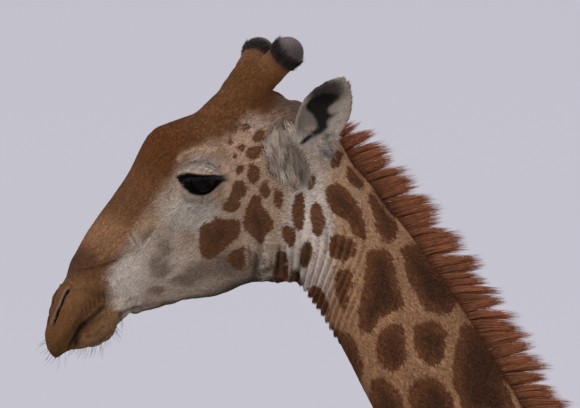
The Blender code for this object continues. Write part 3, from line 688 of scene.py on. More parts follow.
def sown_marks(p):
    """Depth inside the patches sown over the rest of the body, and a number of its own for each patch."""
    seeds, radii, ways, squash, shades = flesh["seeds"]
    depth, shade = np.full(len(p), OUTSIDE), np.zeros(len(p))
    k = np.flatnonzero(p[:, 2] < 3.87)
    moved = p[k] + wander(p[k], 0.07, 5.0) * 0.016 + wander(p[k], 0.02, 9.0) * 0.005
    batch = 20000           # places taken at once, to spare memory
    for start in range(0, len(k), batch):
        part = slice(start, start + batch)
        q = moved[part]
        square = (q * q).sum(1)[:, None] - 2 * q @ seeds.T + (seeds * seeds).sum(1)
        along = q @ ways.T - (seeds * ways).sum(1)
        n = np.sqrt(np.maximum(square - along ** 2 * (1 - squash ** 2), 0)) / radii
        first = n.argmin(1)
        near = np.partition(n, 1, axis=1)[:, :2]
        r = radii[first]
        line = np.interp(q[:, 2], [0.5, 1.6, 2.4, 3.2, 3.9], [0.012, 0.016, 0.026, 0.022, 0.014])
        depth[k[part]] = np.minimum((near[:, 1] - near[:, 0]) * r / 2 - line / 2, (1.22 - near[:, 0]) * r)
        shade[k[part]] = shades[first]
    z = p[:, 2]
    under = smooth(0.30, 0.05, np.abs(p[:, 0])) * smooth(2.02, 1.86, z) * smooth(1.70, 1.78, z)
    depth -= 0.06 * smooth(0.95, 0.50, z) + 0.07 * under + 0.06 * smooth(3.81, 3.87, z)
    return depth, shade


def marks_of(p):
    """Depth inside a dark patch, negative in the pale lines between, and the patch's own shade."""
    drawn = drawn_marks(p)
    sown, shade = sown_marks(p)
    sown = np.minimum(sown, -drawn - 0.012)
    h = to_head(p)
    on_ear = (ear_coordinates(h)[0] > 0.0) & (np.abs(h[:, 2]) > 0.10) & (h[:, 0] < 0.0)
    forehead = (h[:, 2] ** 2 < 0.0052) & (h[:, 1] > 0.10) & (h[:, 0] > 0.13)
    depth = np.maximum(drawn, sown)
    depth[(head_share(p) > 0.5) & (on_ear | forehead)] = OUTSIDE
    return depth, shade


def painted(colour, yz, areas):
    """Colours with soft oval areas laid over them."""
    for _, y, z, ry, rz, code, share in areas:
        v = yz * 1000 - ((y, z) + MARKS_FROM)
        n = np.hypot(v[:, 0] / ry, v[:, 1] / rz)
        colour = tinted(colour, code, share * np.exp(-n ** 4 * 0.7))
    return colour


def tones_of(p, normal, depth, shade):
    """At each place, the colours of ground and patches, and the shares of ear and of knob."""
    seen = drawn_plane(p)
    yz = seen + wander(p, 0.03, 1.0)[:, 1:] * 0.007
    h = to_head(p)
    head = head_share(p)
    at, _, _ = along_line(p[:, 1:], NECK_LINE)

    # Neck, trunk and legs: warm tan that pales down the legs and under the belly.
    steps = [0.0, 0.20, 0.45, 0.9, 1.5, 2.2]
    tans = np.array([linear(c) for c in ("C8A88A", "C8A27E", "B48863", "A87C56", "B08862", "B58F68")])
    body = np.stack([np.interp(at, steps, tans[:, i]) for i in range(3)], 1)
    body = tinted(body, "B08862", smooth(3.05, 2.85, p[:, 2]) * (p[:, 2] < 2.95))
    body = tinted(body, "D2B48D", legs_share(p) * 0.8)
    body = tinted(body, "D9C4A1", smooth(0.95, 0.55, p[:, 2]))
    under = smooth(2.05, 1.85, p[:, 2]) * smooth(1.68, 1.78, p[:, 2])
    body = tinted(body, "DCC7A6", under * 0.8)
    # Painted shade along the front edge of the neck, where its middle faces forwards.
    front = smooth(0.055, 0.012, np.abs(p[:, 0])) * (normal[:, 1] < -0.2) * smooth(2.6, 2.8, p[:, 2])
    body = tinted(body, "6E4D38", front * 0.35 * (1 - head))
    d = inside(yz, NAPE_BAND, 0.05)
    band = smooth(-0.005, 0.003, d) * 0.85 * (1 - head)
    line = smooth(0.0055, 0.0015, np.abs(d + 0.006)) * 0.75 * (1 - head)
    body = tinted(tinted(body, "6A4C3A", band), "D0A078", line)

    # Head: pale grey cheeks with soft shadows, and brown from the crown to the lip.
    lower = painted(plain("B39D88", len(p)), yz, PALE_AREAS)
    for spot in GREY_SPOTS:
        lower = tinted(lower, "7C6A5B", 0.85 * smooth(1.35, 0.70, in_spot(yz, spot)[1]))
    upper = painted(plain("784F30", len(p)), yz, BROWN_AREAS)
    share = smooth(-0.018, 0.014, inside(yz + wander(p, 0.010, 6.0)[:, 1:] * 0.006, UPPER_FACE))
    face = blended(lower, upper, share)
    face = tinted(face, "8A633D", smooth(-0.010, 0.012, inside(yz, CHIN)) * 0.9)
    # Painted shade under the jaw, inside its drawn outline.
    face = tinted(face, "3B3626", smooth(-0.004, 0.008, inside(yz, JAW_UNDERSIDE_SHADE)) * 0.9)
    # Painted shade where the head's underside faces down: along its middle and under the back of the jaw.
    keel_shade = smooth(0.1, 0.7, -normal[:, 2]) * smooth(0.030, 0.012, np.abs(h[:, 2])) * (h[:, 1] < 0.0) * 0.7
    face = tinted(face, "544A38", keel_shade)
    below = smooth(-0.40, -0.88, normal[:, 2]) * smooth(0.062, 0.040, np.abs(h[:, 2])) * (h[:, 1] < 0.02)
    face = tinted(face, "3F3A2C", below * smooth(0.10, 0.18, h[:, 0]) * smooth(0.34, 0.26, h[:, 0]) * 0.85)
    pale_throat = smooth(1.4, 0.6, np.hypot((yz[:, 0] + 1.106) / 0.052, (yz[:, 1] - 4.17) / 0.15))
    body = tinted(body, "DACBBC", pale_throat * 0.9)
    face = tinted(face, "DACBBC", pale_throat * 0.9)
    ground = blended(body, face, head)
    ground = tinted(ground, "4C3F32", smooth(-0.014, 0.008, inside(yz, EAR_ROOT)) * 0.85)

    # Patches: darkest in their middles, paler down the legs.
    dark = smooth(0.004, 0.030, depth)
    patch = tinted(plain("784C30", len(p)), "472E1E", dark * 0.80)
    patch = tinted(patch, "69482E", head * 0.7 * (1 - dark * 0.5))
    patch = tinted(patch, "7A5238", smooth(3.0, 2.4, p[:, 2]) * 0.45)
    patch = tinted(patch, "9A6F4B", legs_share(p) * 0.35)
    patch = patch * (1 + 0.14 * shade[:, None])
    patch = tinted(tinted(patch, "553C2E", band), "B4835F", line)

    # Ears: painted shade, near black, deep in the hollow's front, pale grey behind it, warm outside.
    e, across, _ = ear_coordinates(h)
    face_way = facing_share(normal, h)
    ear = ear_share(h)
    inner = ear * smooth(0.05, 0.45, face_way)
    hollow = inner * smooth(0.10, 0.2, e) * smooth(0.86, 0.72, e) * smooth(-0.024, 0.006, across)
    ground = tinted(ground, "B09A84", ear * (1 - inner) * 0.8)
    ground = tinted(ground, "B3A696", inner)
    # The hollow's drawn outline and the slit take painted shade.
    drawn = smooth(-0.004, 0.006, inside(seen + wander(p, 0.02, 2.0)[:, 1:] * 0.003, EAR_HOLLOW))
    drawn = drawn * head * (face_way > 0.0) * (np.abs(h[:, 2]) > 0.08)
    hollow = np.maximum(hollow * 0.35, drawn)
    hollow = np.maximum(hollow, smooth(1.3, 0.8, in_spot(seen, EAR_SLIT)[1]) * (face_way > 0.0))
    upper = smooth(1.3, 0.5, np.hypot((seen[:, 0] + 1.070) / 0.048, (seen[:, 1] - 4.489) / 0.028)) * inner
    ground = tinted(ground, "38332B", upper * 0.90)
    ground = tinted(ground, "151310", hollow * 0.97)
    ground = tinted(ground, "BDAE9E", ear * smooth(0.35, 0.1, np.abs(face_way)) * 0.6)

    # Horns: orange-brown shafts with wrinkles, and bald dark knobs with a painted highlight on top.
    t, r = horn_coordinates(h)
    horn = smooth(0.02, 0.20, t) * smooth(0.070, 0.052, r) * (h[:, 1] > HORN_LOW)
    t = t + wander(p, 0.012, 4.0)[:, 0] * 0.03
    ground = tinted(ground, "744A26", horn * 0.9)
    ground = tinted(ground, "231C19", horn * smooth(0.78, 0.93, t))
    ground = tinted(ground, "4C413C", horn * smooth(0.97, 1.08, t))
    # Painted highlight on the knobs' tops, where they face up.
    ground = tinted(ground, "75665F", horn * smooth(1.02, 1.16, t) * smooth(0.0, 0.9, normal[:, 2]) * 0.8)
    for _, code, width, share, line in STROKES:
        share = share * stroke(seen, line, width) * head
        ground, patch = tinted(ground, code, share), tinted(patch, code, share)
    return ground, patch, ear, horn * smooth(0.95, 1.0, t)


def scatter(co, tris, wish, count, rng):
    """Picks places on the surface by a density for each triangle.

    Returns the places, their normals, the triangle of each and its shares of that triangle's corners."""
    a, b, c = (co[tris[:, i]] for i in range(3))
    cross = np.cross(b - a, c - a)
    area = np.linalg.norm(cross, axis=1) / 2 * wish
    k = rng.choice(len(tris), count, p=area / area.sum())
    u, v = rng.random(count), rng.random(count)
    over = u + v > 1
    u[over], v[over] = 1 - u[over], 1 - v[over]
    shares = np.stack([1 - u - v, u, v], 1)
    p = (co[tris[k]] * shares[:, :, None]).sum(1)
    return p, unit(cross[k]), k, shares


def lie_of(p, normal):
    """Which way the hair lies: back along the face, down the neck, back over the trunk and down the legs."""
    h = to_head(p)
    head = head_share(p)[:, None]
    _, _, way = along_line(p[:, 1:], NECK_LINE)
    neck = np.hstack([np.zeros((len(p), 1)), way]) + np.array((0, 0.12, 0))
    trunk = np.tile((0.0, 0.92, -0.40), (len(p), 1))
    low = smooth(3.15, 2.75, p[:, 2])[:, None]
    body = neck * (1 - low) + trunk * low
    leg = legs_share(p)[:, None]
    body = body * (1 - leg) + np.array((0, 0.10, -1.0)) * leg
    body[is_tail(p)] = (0, 0.05, -1)
    down = smooth(0.08, -0.04, h[:, 1])[:, None]
    face = -HEAD[:, 0] * (1 - 0.2 * down) - HEAD[:, 1] * (0.45 * down + 0.10)
    way = body * (1 - head) + face * head
    ear = ear_share(h) > 0.4
    reach = EAR_TIPS_AT[(h[ear, 2] < 0).astype(int)] - EAR_ROOT_AT
    way[ear] = (reach * side_of(h[ear])) @ HEAD.T
    t, r = horn_coordinates(h)
    horn = (t > 0.12) & (r < 0.075) & (h[:, 1] > 0.17) & (head[:, 0] > 0.5)
    way[horn] = ((HORN_TIP_AT - HORN_ROOT_AT) * side_of(h[horn])) @ HEAD.T
    way = unit(way)
    return unit(way - normal * (way * normal).sum(1, keepdims=True))


def grain_of(p):
    """Coordinates that run slowly along the lie of the hair and fast across it, for the fine streaks."""
    h = to_head(p)
    head = head_share(p)[:, None]
    at, off, _ = along_line(p[:, 1:], NECK_LINE)
    neck = np.stack([p[:, 0], off, at / 6], 1)
    trunk = np.stack([p[:, 0], p[:, 2], p[:, 1] / 6], 1)
    leg = np.stack([p[:, 0], p[:, 1], p[:, 2] / 6], 1)
    face = np.stack([h[:, 2], h[:, 1], h[:, 0] / 6], 1)
    low, is_leg = p[:, 2:] < TRUNK_TOP, p[:, 2:] < 1.8
    return np.where(head > 0.5, face, np.where(is_leg, leg, np.where(low, trunk, neck)))


# Sculpting of the head, in the head's own coordinates with both sides folded onto one.

# Creases (height below 0) and ridges of the face: places along and up it, height and width, in millimetres.
FACE_LINES = [
    ([(251, 188), (228, 191), (203, 182), (181, 164), (165, 138)], -2.6, 5),
    ([(243, 179), (219, 180), (197, 170), (177, 148)], 1.8, 4),
    ([(259, 194), (228, 205), (193, 198), (164, 174)], 2.5, 8),
    ([(273, 148), (261, 118), (231, 95), (197, 97)], -2.6, 5),
    ([(283, 148), (269, 110), (233, 82), (192, 86)], 2.0, 7),
    ([(269, 164), (283, 156), (299, 142)], -2.5, 4),
    ([(520, 128), (470, 122), (419, 120), (365, 126), (312, 136)], 3.4, 8),
    ([(512, 113), (458, 104), (408, 101), (362, 112), (330, 120)], -3.0, 6),
    ([(500, 136), (460, 133), (430, 136)], -1.6, 4),
    ([(505, 147), (468, 146), (440, 150)], -1.4, 4),
    ([(561, 102), (545, 84), (526, 62), (508, 38)], -2.6, 8),
    ([(506, 12), (505, -8), (510, -20), (512, -27), (512, -33)], -5.0, 8),
    ([(210, -106), (182, -59), (158, -13), (155, 30)], -3.0, 11),
    ([(6, 118), (36, 99), (30, 64), (24, 25)], -2.5, 6),
    ([(560, 126), (583, 117), (610, 101), (634, 83)], 3.0, 5),
    ([(556, 110), (582, 99), (606, 84), (628, 68)], 2.6, 5),
]
# Wrinkles of the lip, and of the horn's shaft.
for i in range(6):
    places = [(522 + 11 * i, 36 + 2 * i), (516 + 12 * i, 50 + 2 * i), (514 + 12 * i, 66 + 2 * i)]
    FACE_LINES.append((places, -1.3, 2.6))
for i in range(4):
    places = [(64 + 13 * i, 214 - 3 * i), (56 + 13 * i, 200 - 2 * i), (52 + 12 * i, 180)]
    FACE_LINES.append((places, -1.5, 3.0))
# The nostril, as places along the face and out from its middle, seen from above.
NOSTRIL = [(562, 33), (580, 31), (597, 28), (613, 24), (627, 19), (639, 14)]
# The side view of nose and lip, of the chin and of the jaw: the heart each is drawn about, and its outline.
PROFILES = [
    ((575, 35), [(496, 145), (525, 128), (552, 117), (579, 108), (605, 91), (627, 71), (648, 50), (664, 25),
    (667, 3), (661, -12), (641, -17), (622, -11)]),
    ((550, -6), [(615, -20), (605, -28), (593, -33), (566, -43), (539, -45), (522, -38), (510, -28),
    (500, -27)]),
    ((413, 25), [(499, -26), (483, -29), (455, -37), (435, -44), (402, -57), (368, -69)]),
]
# The mouth, as places along the face and up it.
MOUTH = [(519, 26), (532, 26), (555, 22), (577, 20), (597, 18), (614, 12), (627, 4), (633, -3)]


def filled_in(places):
    """A line through places, with a point every 1.5 mm."""
    step = 0.0015
    full = []
    for a, b in zip(places, places[1:]):
        n = max(2, int(np.linalg.norm(b - a) / step))
        full.append(a + (b - a) * np.linspace(0, 1, n, endpoint=False)[:, None])
    return np.vstack(full + [places[-1:]])


def traced(tree, line, exact=False):
    """A line of places along and up the face, dropped onto its side and filled in.

    Exact ones are true places, others are given as they're seen from DRAWN_FROM."""
    beyond = 0.40           # farther out than any flesh of the head
    hit = []
    for s, t in line:
        found = tree.ray_cast((s / 1000, t / 1000, beyond), (0, 0, -1))[0]
        if found and not exact:
            p = from_head(np.array(found)[None])
            nearer = (p[0, 1:] - PLANE_MIDDLE) / (1 + p[0, 0] / DRAWN_FROM)
            p[0, 1:] = nearer + PLANE_MIDDLE - (0, LOOK_UP * p[0, 0])
            s, t = to_head(p)[0, :2] * 1000
            found = tree.ray_cast((s / 1000, t / 1000, beyond), (0, 0, -1))[0]
        hit.append(found if found else (s / 1000, t / 1000, hit[-1][2] * 0.8 if hit else 0.03))
    return filled_in(np.array([tuple(v) for v in hit]))


def from_line(g, path, reach):
    """For each point, its distance from a traced line and how far along the line that is, from 0 to 1."""
    d, u = np.full(len(g), 1.0), np.zeros(len(g))
    k = np.flatnonzero(((g > path.min(0) - reach) & (g < path.max(0) + reach)).all(1))
    if len(k):
        gap = ((g[k][:, None] - path[None]) ** 2).sum(2)
        d[k] = np.sqrt(gap.min(1))
        u[k] = gap.argmin(1) / (len(path) - 1)
    return d, u


def shape_lids(co):
    """Draws the flesh round each eye into lids. Returns the points and the distance outside the opening."""
    margin = np.full(len(co), 1.0)
    for name, sign in zip(EYES, (1, -1)):
        v = co - EYE_PLACES[name]
        far = np.linalg.norm(v, axis=1)
        k = np.flatnonzero(far < 0.085)
        slit, out, up = eye_axes(sign)
        v, far = v[k], far[k]
        u = v / far[:, None]
        a = np.degrees(np.arctan2(u @ slit, u @ out))
        b = np.degrees(np.arcsin(np.clip(u @ up, -1, 1)))
        corner = corner_line(a)
        top, bottom = eye_top(a), corner - 76 * np.clip(1 - (a / LID_REACH) ** 2, 0, 1) ** 0.65
        m = np.maximum(b - top, bottom - b)
        m = np.where(np.abs(a) > LID_REACH, np.hypot(np.abs(a) - LID_REACH, b - corner), m)
        m = np.radians(m) * EYE_RADIUS
        facing = u @ out > -0.1
        upper = smooth(-4, 14, b - corner)
        lid = EYE_RADIUS + 0.0030 + 0.0030 * upper
        blend = smooth(0.004, 0.030, m)
        over = EYE_RADIUS + 0.0026 * smooth(-0.2, 0.2, u @ out)
        rolled = lid + (np.maximum(far, over) - lid) * blend
        deep = EYE_RADIUS - 0.0055
        r = deep + (rolled - deep) * smooth(-0.0016, 0.0006, m)
        r = np.where(facing & (m < 0.030), r, np.where(u @ out > 0, np.maximum(far, over), far))
        co[k] = EYE_PLACES[name] + u * r[:, None]
        margin[k] = np.where(facing, m * (1 + upper), 1.0)
    return co, margin


def fit_profile(co, heart, outline):
    """Draws the head in or out about a heart until its side view meets an outline, fading at its ends."""
    steps = 40              # directions about the heart in which the outline is measured
    h = to_head(co)
    heart = np.array(heart) / 1000
    want = np.array(outline) / 1000 - heart
    mid = unit(want[len(want) // 2])
    turned = lambda q: np.arctan2(q[:, 1] * mid[0] - q[:, 0] * mid[1], q @ mid)
    v = h[:, :2] - heart
    angle, far = turned(v), np.hypot(*v.T)
    edge, reach = turned(want), np.hypot(*want.T)
    order = np.argsort(edge)
    edge, reach = edge[order], reach[order]
    front = (h[:, 0] > 0.34) & (h[:, 1] < 0.20)
    k = np.flatnonzero((angle > edge[0]) & (angle < edge[-1]) & (far < reach.max() * 1.4) & front)
    share = (angle[k] - edge[0]) / (edge[-1] - edge[0])
    # The head is turned, so its far side makes part of the outline that is seen.
    flat = np.linalg.solve(HEAD[1:, :2], (co[:, 1:] - HEAD_FROM[1:]).T).T - heart
    place = (turned(flat) - edge[0]) / (edge[-1] - edge[0])
    seen = np.flatnonzero((place > 0) & (place < 1) & (np.hypot(*flat.T) < reach.max() * 1.4) & front)
    have = np.zeros(steps)
    np.maximum.at(have, (place[seen] * steps).astype(int), np.hypot(*flat[seen].T))
    known = np.flatnonzero(have > 0)
    padded = np.pad(np.interp(np.arange(steps), known, have[known]), 2, "edge")
    have = np.convolve(padded, np.array((1, 2, 3, 2, 1)) / 9, "valid")
    have = np.interp(share * steps - 0.5, np.arange(steps), have)
    factor = np.clip((np.interp(angle[k], edge, reach) - 0.0012) / have, 0.75, 1.25)
    fade = smooth(0, 0.08, share) * smooth(1, 0.92, share) * smooth(0.25, 0.8, far[k] / have)
    new = h[k]
    new[:, :2] = heart + v[k] * (1 + (factor - 1) * fade)[:, None]
    co[k] = from_head(new)
    return co


def shape_horns(co):
    """Draws the shafts in below round knobs that sit a little above their axes."""
    h = to_head(co)
    side = side_of(h)
    g = h * side
    t, r = horn_coordinates(h)
    length = np.linalg.norm(HORN_TIP_AT - HORN_ROOT_AT)
    axis = (HORN_TIP_AT - HORN_ROOT_AT) / length
    k = np.flatnonzero((t > 0.45) & (r < 0.056) & (h[:, 1] > HORN_LOW) & (head_share(co) > 0.5))
    t, r, g = t[k], r[k], g[k]
    low = np.minimum(t, 1.0)
    foot = HORN_ROOT_AT + axis * (low * length)[:, None]
    way = unit(g - foot)
    knots = [0.40, 0.50, 0.60, 0.70, 0.80, 0.90, 1.0]
    radius = np.interp(low, knots, [0.0375, 0.0350, 0.0325, 0.0308, 0.0304, 0.0318, 0.0332])
    new = foot + way * radius[:, None]
    share = (smooth(0.50, 0.66, t) * smooth(0.054, 0.046, r))[:, None]
    co[k] = from_head((g * (1 - share) + new * share) * side[k])
    return co


def sculpt_head(o):
    """Lids, nostrils, mouth, creases of the face and folds of the throat, moved point by point.

    Returns the distance outside the eye's opening and the shares of nostril, mouth and groove."""
    co, normal = points_of(o), normals_of(o)
    for heart, outline in PROFILES:
        co = fit_profile(co, heart, outline)
    h = to_head(co)
    g = folded(h)
    tris = triangles_of(o)
    in_head = tris[(h[tris[:, 0]][:, 0] > -0.02) & (h[tris[:, 0]][:, 1] > -0.16)]
    tree = BVHTree.FromPolygons(h.tolist(), in_head.tolist())
    move = np.zeros(len(co))
    for line, height, width in FACE_LINES:
        d, u = from_line(g, traced(tree, line), width * 0.003)
        ridge = height / 1000 * smooth(0, 0.18, u) * smooth(0, 0.18, 1 - u)
        move += ridge * np.exp(-(d * 1000 / width) ** 2)
    above = 0.40            # higher than any flesh of the face
    dropped = [tuple(tree.ray_cast((s / 1000, above, w / 1000), (0, -1, 0))[0]) for s, w in NOSTRIL]
    d, u = from_line(g, filled_in(np.array(dropped)), 0.03)
    ends = smooth(0, 0.15, u) * smooth(0, 0.15, 1 - u)
    nostril = ends * np.exp(-(d / 0.0060) ** 2)
    move -= 0.014 * nostril
    d, u = from_line(g, traced(tree, MOUTH, True), 0.03)
    mouth = smooth(0, 0.06, u) * (0.45 + 0.55 * smooth(0.35, 0.8, u)) * np.exp(-(d / 0.0036) ** 2)
    move -= 0.0085 * mouth
    move += 0.0022 * smooth(0, 0.1, u) * np.exp(-((d - 0.009) / 0.004) ** 2)

    # Folds under the throat, 13.5 mm apart, that die out up the neck's side.
    q = near_side(co)
    v = q[:, 1:] - np.array((-1.204, 4.087))
    run, rise = v @ np.array((0.857, -0.515)), v @ np.array((0.515, 0.857))
    bend = v[:, 0] - v[:, 1] * 0.34 * smooth(0.0, 0.14, run) + 0.004 * np.sin(rise * 25 + 1)
    fades = np.where(rise < 0.035, 1, np.exp(-((rise - 0.035) / 0.05) ** 2))
    folds = smooth(-0.02, 0.02, run) * smooth(0.215, 0.17, run) * fades
    high = smooth(0.03, 0.08, run) * smooth(0.175, 0.10, run) * np.exp(-((rise - 0.12) / 0.08) ** 2)
    wave = np.sin(2 * math.pi * bend / 0.0135)
    wave = np.where(wave < 0, -np.abs(wave) ** 0.8 * 1.2, wave ** 1.5)
    move += (0.0036 * folds * (1 - 0.55 * smooth(0.05, 0.13, run)) + 0.0016 * high) * wave
    co = shape_horns(co)
    co += normal * move[:, None]
    co, margin = shape_lids(co)
    put_points(o, co)
    groove = np.clip(-move / 0.004, 0, 1) * (nostril < 0.1)
    return margin, nostril, mouth, groove


class GiraffeSkinSettings(bpy.types.PropertyGroup):
    grid: FloatProperty(name="Grid",
        description="Size of the grid on which the flesh is joined into one skin", default=0.004, min=0.002,
        unit="LENGTH")
    head_depth: FloatProperty(name="Coat depth on the head",
        description="How far the skin lies inside the solids on the head", default=0.0015, unit="LENGTH")
    body_depth: FloatProperty(name="Coat depth on the body",
        description="How far the skin lies inside the solids on neck, trunk and legs", default=0.0035,
        unit="LENGTH")
    keep: FloatProperty(name="Share kept",
        description="Share of the faces kept on the body. The upper neck keeps about three times as many",
        default=0.028, subtype="FACTOR")


class GIRAFFE_OT_skin(bpy.types.Operator):
    """One skin for all the flesh, with lids, folds and markings, and the two horns over it"""
    bl_idname = "giraffe.skin"
    bl_label = "Skin and horns"

    def execute(self, context):
        s = context.scene.giraffe_skin
        o = copy_of(FLESH + list(HORNS) + list(EYES), "skin")
        modify(o, "REMESH", mode="VOXEL", voxel_size=s.grid, use_smooth_shade=True)
        co = points_of(o)
        h = to_head(co)
        head, ear, leg = head_share(co), ear_share(h), legs_share(co)
        tail = is_tail(co)
        put_points(o, co + normals_of(o) * (0.0012 * ear)[:, None])
        group(o, "fine", np.where(tail, 0.3, 1 - 0.45 * ear))
        group(o, "broad", np.where(tail, 0.0, (1 - head) * (1 - 0.75 * leg)))
        modify(o, "SMOOTH", factor=0.5, iterations=14, vertex_group="fine")
        modify(o, "SMOOTH", factor=0.5, iterations=90, vertex_group="broad")
        depth = s.head_depth * head * (1 - 0.5 * ear) + s.body_depth * (1 - head) * (1 - 0.4 * leg)
        depth = np.where(tail, 0.001, depth)
        put_points(o, points_of(o) - normals_of(o) * depth[:, None])
        parts = (("body", self.body_of, s.keep), ("upper neck", self.neck_of, s.keep * 3.2),
                 ("spotted cheek", self.spotted_of, 0.62), ("rest of the head", self.back_of, 0.22))
        for name, wanted, share in parts:
            where = wanted(points_of(o)) * 1.0
            tris = triangles_of(o)
            part = (where[tris].min(1) > 0.99).mean()
            group(o, name, where)
            modify(o, "DECIMATE", ratio=1 - (1 - share) * part, vertex_group=name)
        self.refine(o, 0.038)
        margin, nostril, mouth, groove = sculpt_head(o)
        o.vertex_groups.clear()

        co, normal, tris = points_of(o), normals_of(o), triangles_of(o)
        flesh["seeds"] = sow_patches(co, tris)
        mark, shade = marks_of(co)
        ground, patch, ear, knob = tones_of(co, normal, mark, shade)
        # Painted shade in the creases and folds carved into the skin.
        dark = (1 - 0.45 * groove)[:, None]
        ground, patch = ground * dark, patch * dark
        drawn = smooth(-0.003, 0.004, inside(drawn_plane(co), EYE_BLACK)) * head_share(co)
        rim = np.maximum(smooth(0.0085, 0.0035, margin), drawn)
        ground, patch = tinted(ground, "040303", rim), tinted(patch, "040303", rim)
        place, slit = to_head(co), np.array(NOSTRIL) / 1000
        inner = smooth(0.003, -0.003, np.abs(place[:, 2]) - np.interp(place[:, 0], slit[:, 0], slit[:, 1]))
        # Painted shade round the nostril's outer side and near black painted shade deep in its slit; its
        # inner rim is pale.
        ground = tinted(ground, "3A2E29", smooth(0.001, 0.06, nostril) * (1 - inner) * 0.6)
        ground = tinted(ground, "A98A72", smooth(0.004, 0.05, nostril) * inner * 0.5)
        ground = tinted(ground, "0E0A09", smooth(0.10, 0.36, nostril))
        # Painted shade along the mouth, under the overhanging upper lip.
        ground = tinted(ground, "33241B", np.clip(mouth * 1.5, 0, 1) * 0.9)
        bare = np.clip(rim + nostril * 1.5 + mouth + knob, 0, 1)
        kept = {"mark": mark, "bare": bare, "grain": grain_of(co),
                "ground_tone": ground, "patch_tone": patch}
        for name, value in kept.items():
            store(o, name, value)
        flesh.update(co=co, normal=normal, tris=tris, mark=mark, ground=ground, patch=patch, bare=bare,
                     margin=margin, ear=ear)
        o.data.materials.append(hide_material())
        self.lay_horns(o, horn_material())
        keep_piece(o, "hide", *FLESH)
        return {"FINISHED"}

    def body_of(self, co):
        at, _, _ = along_line(co[:, 1:], NECK_LINE)
        return (head_share(co) < 0.02) & ((at > 0.75) | (co[:, 2] < 3.2))

    def neck_of(self, co):
        at, _, _ = along_line(co[:, 1:], NECK_LINE)
        throat = np.hypot((co[:, 1] + 1.13) / 0.20, (co[:, 2] - 4.07) / 0.13) < 1
        return (head_share(co) < 0.02) & (at <= 0.75) & (co[:, 2] >= 3.2) & ~throat

    def back_of(self, co):
        g = folded(to_head(co))
        eye = eye_distance(g) < 0.075
        t, r = horn_coordinates(g)
        horn = (t > 0.1) & (r < 0.07) & (g[:, 1] > HORN_LOW)
        ear = (g[:, 2] > 0.09) & (g[:, 0] < 0.06) & (g[:, 1] > 0.01)
        return (head_share(co) > 0.98) & ~eye & ~horn & ~ear & (g[:, 0] < 0.47) & ~self.spotted_of(co)

    def spotted_of(self, co):
        g = folded(to_head(co))
        cheek = (g[:, 2] > 0.055) & (g[:, 0] > 0.03) & (g[:, 0] < 0.30) & (g[:, 1] < 0.16)
        return (head_share(co) > 0.98) & (eye_distance(g) >= 0.075) & cheek

    def refine(self, o, reach):
        """Divides the faces round the eyes twice, and those round nostrils and mouth once."""
        for near_eye, rest in ((reach, True), (reach * 0.9, False)):
            g = folded(to_head(points_of(o)))
            chosen = eye_distance(g) < near_eye
            if rest:
                nostril = np.hypot(g[:, 0] - 0.592, g[:, 1] - 0.098) < 0.045
                mouth = np.interp(g[:, 0], [0.50, 0.53, 0.60, 0.63], [0.018, 0.033, 0.022, 0.006])
                chosen |= nostril | (np.abs(g[:, 1] - mouth) < 0.010) & (g[:, 0] > 0.497) & (g[:, 0] < 0.64)
            pick(o)
            bpy.ops.object.mode_set(mode="EDIT")
            bpy.ops.mesh.select_mode(type="FACE")
            bpy.ops.mesh.select_all(action="DESELECT")
            bpy.ops.object.mode_set(mode="OBJECT")
            faces = [bool(chosen[list(p.vertices)].all()) for p in o.data.polygons]
            o.data.polygons.foreach_set("select", faces)
            bpy.ops.object.mode_set(mode="EDIT")
            bpy.ops.mesh.subdivide(number_cuts=1)
            bpy.ops.object.mode_set(mode="OBJECT")
        bpy.ops.object.shade_smooth()

    def lay_horns(self, skin, material):
        """Lays each horn's own piece over the skin beyond the cut of the solids.

        Its border is sunk in the skin, so no seam shows, and its open end is closed."""
        co, normal, tris = points_of(skin), normals_of(skin), triangles_of(skin)
        h = to_head(co)
        t, r = horn_coordinates(h)
        over = (r < 0.046) & (h[:, 1] > HORN_LOW) & (head_share(co) > 0.5)
        for name, sign in zip(HORNS, (1, -1)):
            beyond = over & (t > HORN_CUT) & (h[:, 2] * sign > 0)
            faces = tris[beyond[tris].all(1)]
            used, faces = np.unique(faces, return_inverse=True)
            faces = faces.reshape(-1, 3)
            edges = np.sort(np.vstack([faces[:, (0, 1)], faces[:, (1, 2)], faces[:, (2, 0)]]), axis=1)
            pairs, times = np.unique(edges, axis=0, return_counts=True)
            rim = np.unique(pairs[times == 1])
            lift = -0.0020 + 0.0026 * smooth(HORN_CUT + 0.02, HORN_CUT + 0.14, t[used])
            lift[rim] = -0.0035
            values = {"bare": flesh["bare"][used], "ground_tone": flesh["ground"][used]}
            lifted = co[used] + normal[used] * lift[:, None]
            horn = new_piece(name.replace("ossicone", "horn"), lifted, [faces], values)
            horn.data.materials.append(material)
            pick(horn)
            bpy.ops.object.mode_set(mode="EDIT")
            bpy.ops.mesh.select_mode(type="EDGE")
            bpy.ops.mesh.select_all(action="DESELECT")
            bpy.ops.mesh.select_non_manifold(
                extend=False, use_wire=False, use_boundary=True, use_multi_face=False,
                use_non_contiguous=False, use_verts=False)
            bpy.ops.mesh.mark_sharp()
            bpy.ops.mesh.fill_holes(sides=0)
            bpy.ops.object.mode_set(mode="OBJECT")
            bpy.ops.object.shade_smooth()
            keep_piece(horn, "horn_skin", name)
        sunk = 0.0022 * smooth(HORN_CUT + 0.10, HORN_CUT + 0.20, t) * over
        put_points(skin, co - normal * sunk[:, None])


